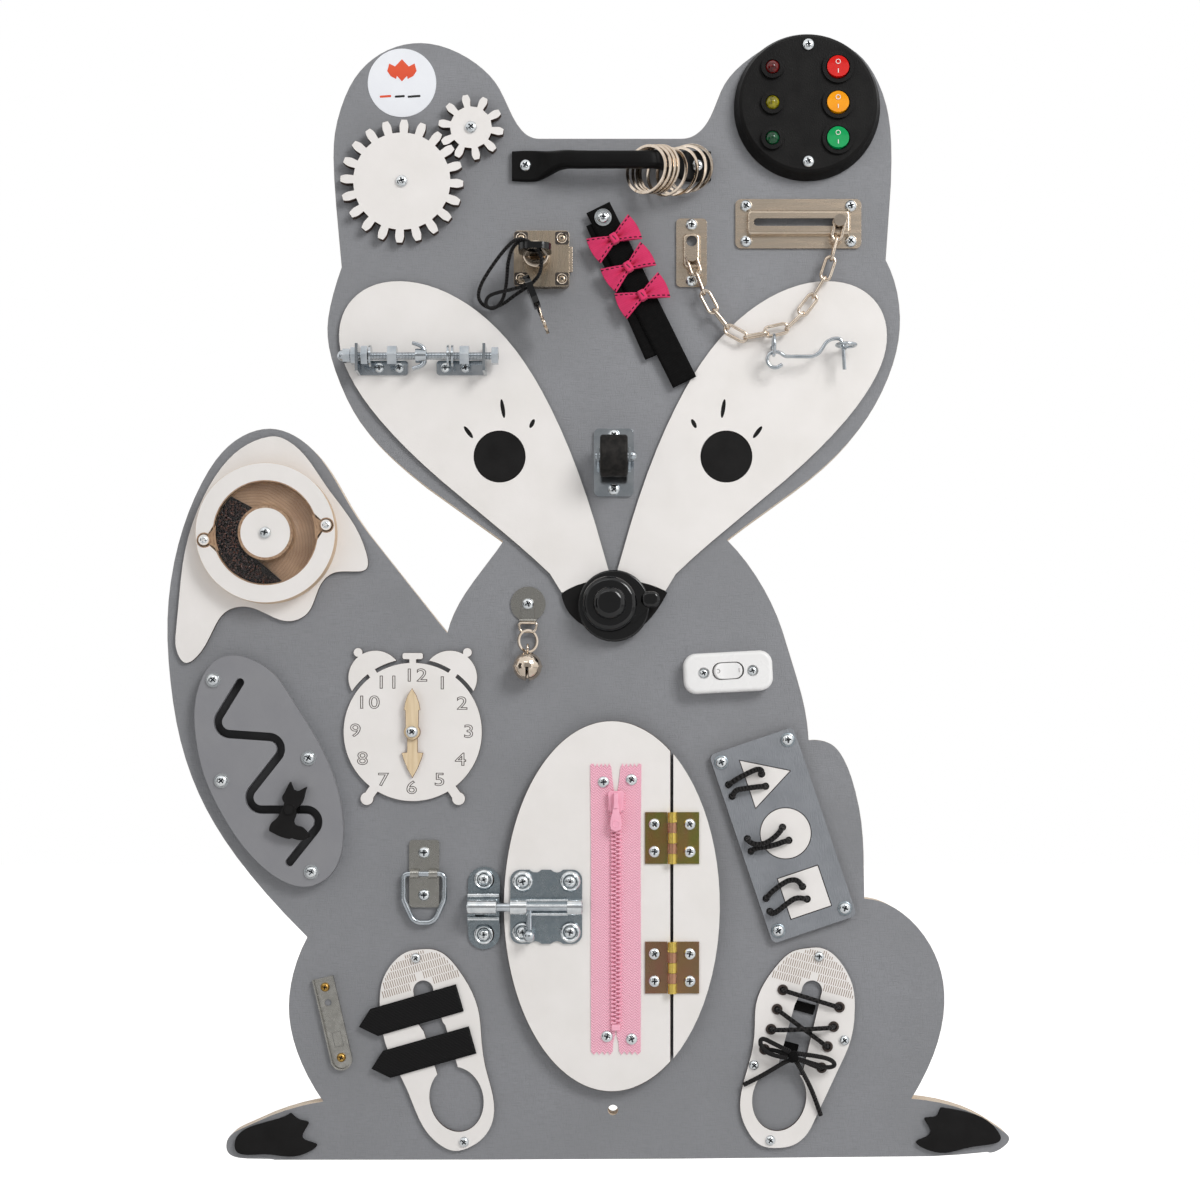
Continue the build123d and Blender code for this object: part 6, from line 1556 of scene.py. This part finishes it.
# ------------------------------------------------------------------ camera, light and stage
def stage():
    """A pale floor below the hanging board, and a white surround."""
    side, drop = 6000.0, 180.0
    floor = bmesh.new()
    bmesh.ops.create_grid(floor, x_segments=2, y_segments=2, size=side)
    bmesh.ops.rotate(floor, cent=(0, 0, 0), matrix=Matrix.Rotation(math.radians(90), 3, "X"), verts=floor.verts)
    bmesh.ops.translate(floor, vec=(0, -drop, 0), verts=floor.verts)
    ground = bpy.data.materials.new("pale floor")
    ground.use_nodes = True
    tree = ground.node_tree
    shader = tree.nodes["Principled BSDF"]
    shader.inputs["Base Color"].default_value = srgb(246, 246, 246)
    shader.inputs["Roughness"].default_value = 0.9
    seen = add_node(tree, "ShaderNodeLightPath").outputs["Is Camera Ray"]
    glow = add_node(tree, "ShaderNodeEmission", {"Strength": math_node(tree, "MULTIPLY", seen, 0.7)})
    both = add_node(tree, "ShaderNodeAddShader", {0: shader.outputs[0], 1: glow.outputs[0]})
    tree.links.new(both.outputs[0], tree.nodes["Material Output"].inputs[0])
    piece = make("floor", floor, None, ground, outwards=False)

    world = bpy.data.worlds.new("surround")
    scene.world = world
    world.use_nodes = True
    tree = world.node_tree
    path = add_node(tree, "ShaderNodeLightPath")
    seen = math_node(tree, "MAXIMUM", path.outputs["Is Camera Ray"], path.outputs["Is Transmission Ray"])
    seen = math_node(tree, "MAXIMUM", seen, path.outputs["Is Glossy Ray"])
    strength = spread(tree, seen, WORLD_FILL, 1.0)
    background = tree.nodes["Background"]
    background.inputs["Color"].default_value = (1.0, 1.0, 1.0, 1.0)
    tree.links.new(strength, background.inputs["Strength"])


def area_lamp(name, place, target, size, power):
    data = bpy.data.lights.new(name, "AREA")
    data.shape, data.size, data.energy = "SQUARE", size, power
    lamp = bpy.data.objects.new(name, data)
    scene.collection.objects.link(lamp)
    lamp.location = place
    lamp.rotation_mode = "QUATERNION"
    lamp.rotation_quaternion = (Vector(target) - Vector(place)).to_track_quat("-Z", "Y")


def reflector(name, place, target, width, height, level):
    """A plain card that only gloss sees, such as the dim room behind a camera."""
    shape = bmesh.new()
    bmesh.ops.create_grid(shape, x_segments=1, y_segments=1, size=0.5)
    bmesh.ops.scale(shape, vec=(width, height, 1), verts=shape.verts)
    mesh = bpy.data.meshes.new(name)
    turn = (Vector(target) - Vector(place)).to_track_quat("-Z", "Y").to_matrix().to_4x4()
    shape.transform(Matrix.Translation(place) @ turn)
    shape.to_mesh(mesh)
    shape.free()
    card_paint = bpy.data.materials.new(name)
    card_paint.use_nodes = True
    tree = card_paint.node_tree
    glow = add_node(tree, "ShaderNodeEmission", {"Color": (level, level, level, 1.0)})
    tree.links.new(glow.outputs[0], tree.nodes["Material Output"].inputs[0])
    mesh.materials.append(card_paint)
    card = bpy.data.objects.new(name, mesh)
    scene.collection.objects.link(card)
    card.visible_camera = card.visible_diffuse = card.visible_shadow = card.visible_transmission = False


WORLD_FILL = 0.49
BOARD_MIDDLE = (0.0, -0.02, 0.36)
CAMERA_HEIGHT = 0.2525
stage()
area_lamp("softbox", (1.25, -1.7, 1.6), (0.0, -0.02, 0.42), 0.9, 30.0)
area_lamp("fill", (-1.6, -1.6, 0.5), BOARD_MIDDLE, 1.6, 3.5)
reflector("room behind the camera", (0.0, -2.6, 0.3), BOARD_MIDDLE, 4.2, 3.0, 0.36)
reflector("dark side", (-1.7, -1.0, 0.3), BOARD_MIDDLE, 1.0, 1.6, 0.05)
reflector("window", (-0.5, -1.9, 1.7), BOARD_MIDDLE, 1.1, 0.35, 2.6)
reflector("second window", (1.3, -1.9, 0.2), BOARD_MIDDLE, 0.25, 1.4, 1.8)
reflector("dark floor strip", (0.0, -1.3, -0.9), BOARD_MIDDLE, 2.4, 0.7, 0.08)

lens = bpy.data.cameras.new("camera")
lens.lens, lens.sensor_width = 60.0, 36.0
lens.shift_x = (VIEW_SIDE / 2 - MIDDLE_COLUMN) / VIEW_SIDE
lens.shift_y = (LEVEL_ROW - (CAMERA_HEIGHT * 1000 - LEVEL) / ELEMENT - VIEW_SIDE / 2) / VIEW_SIDE
lens.clip_start, lens.clip_end = 0.01, 50.0
camera = bpy.data.objects.new("camera", lens)
scene.collection.objects.link(camera)
camera.location = (0.0, -1.418, CAMERA_HEIGHT)
camera.rotation_euler = (math.radians(90), 0.0, 0.0)
scene.camera = camera
scene.view_settings.view_transform = "Standard"
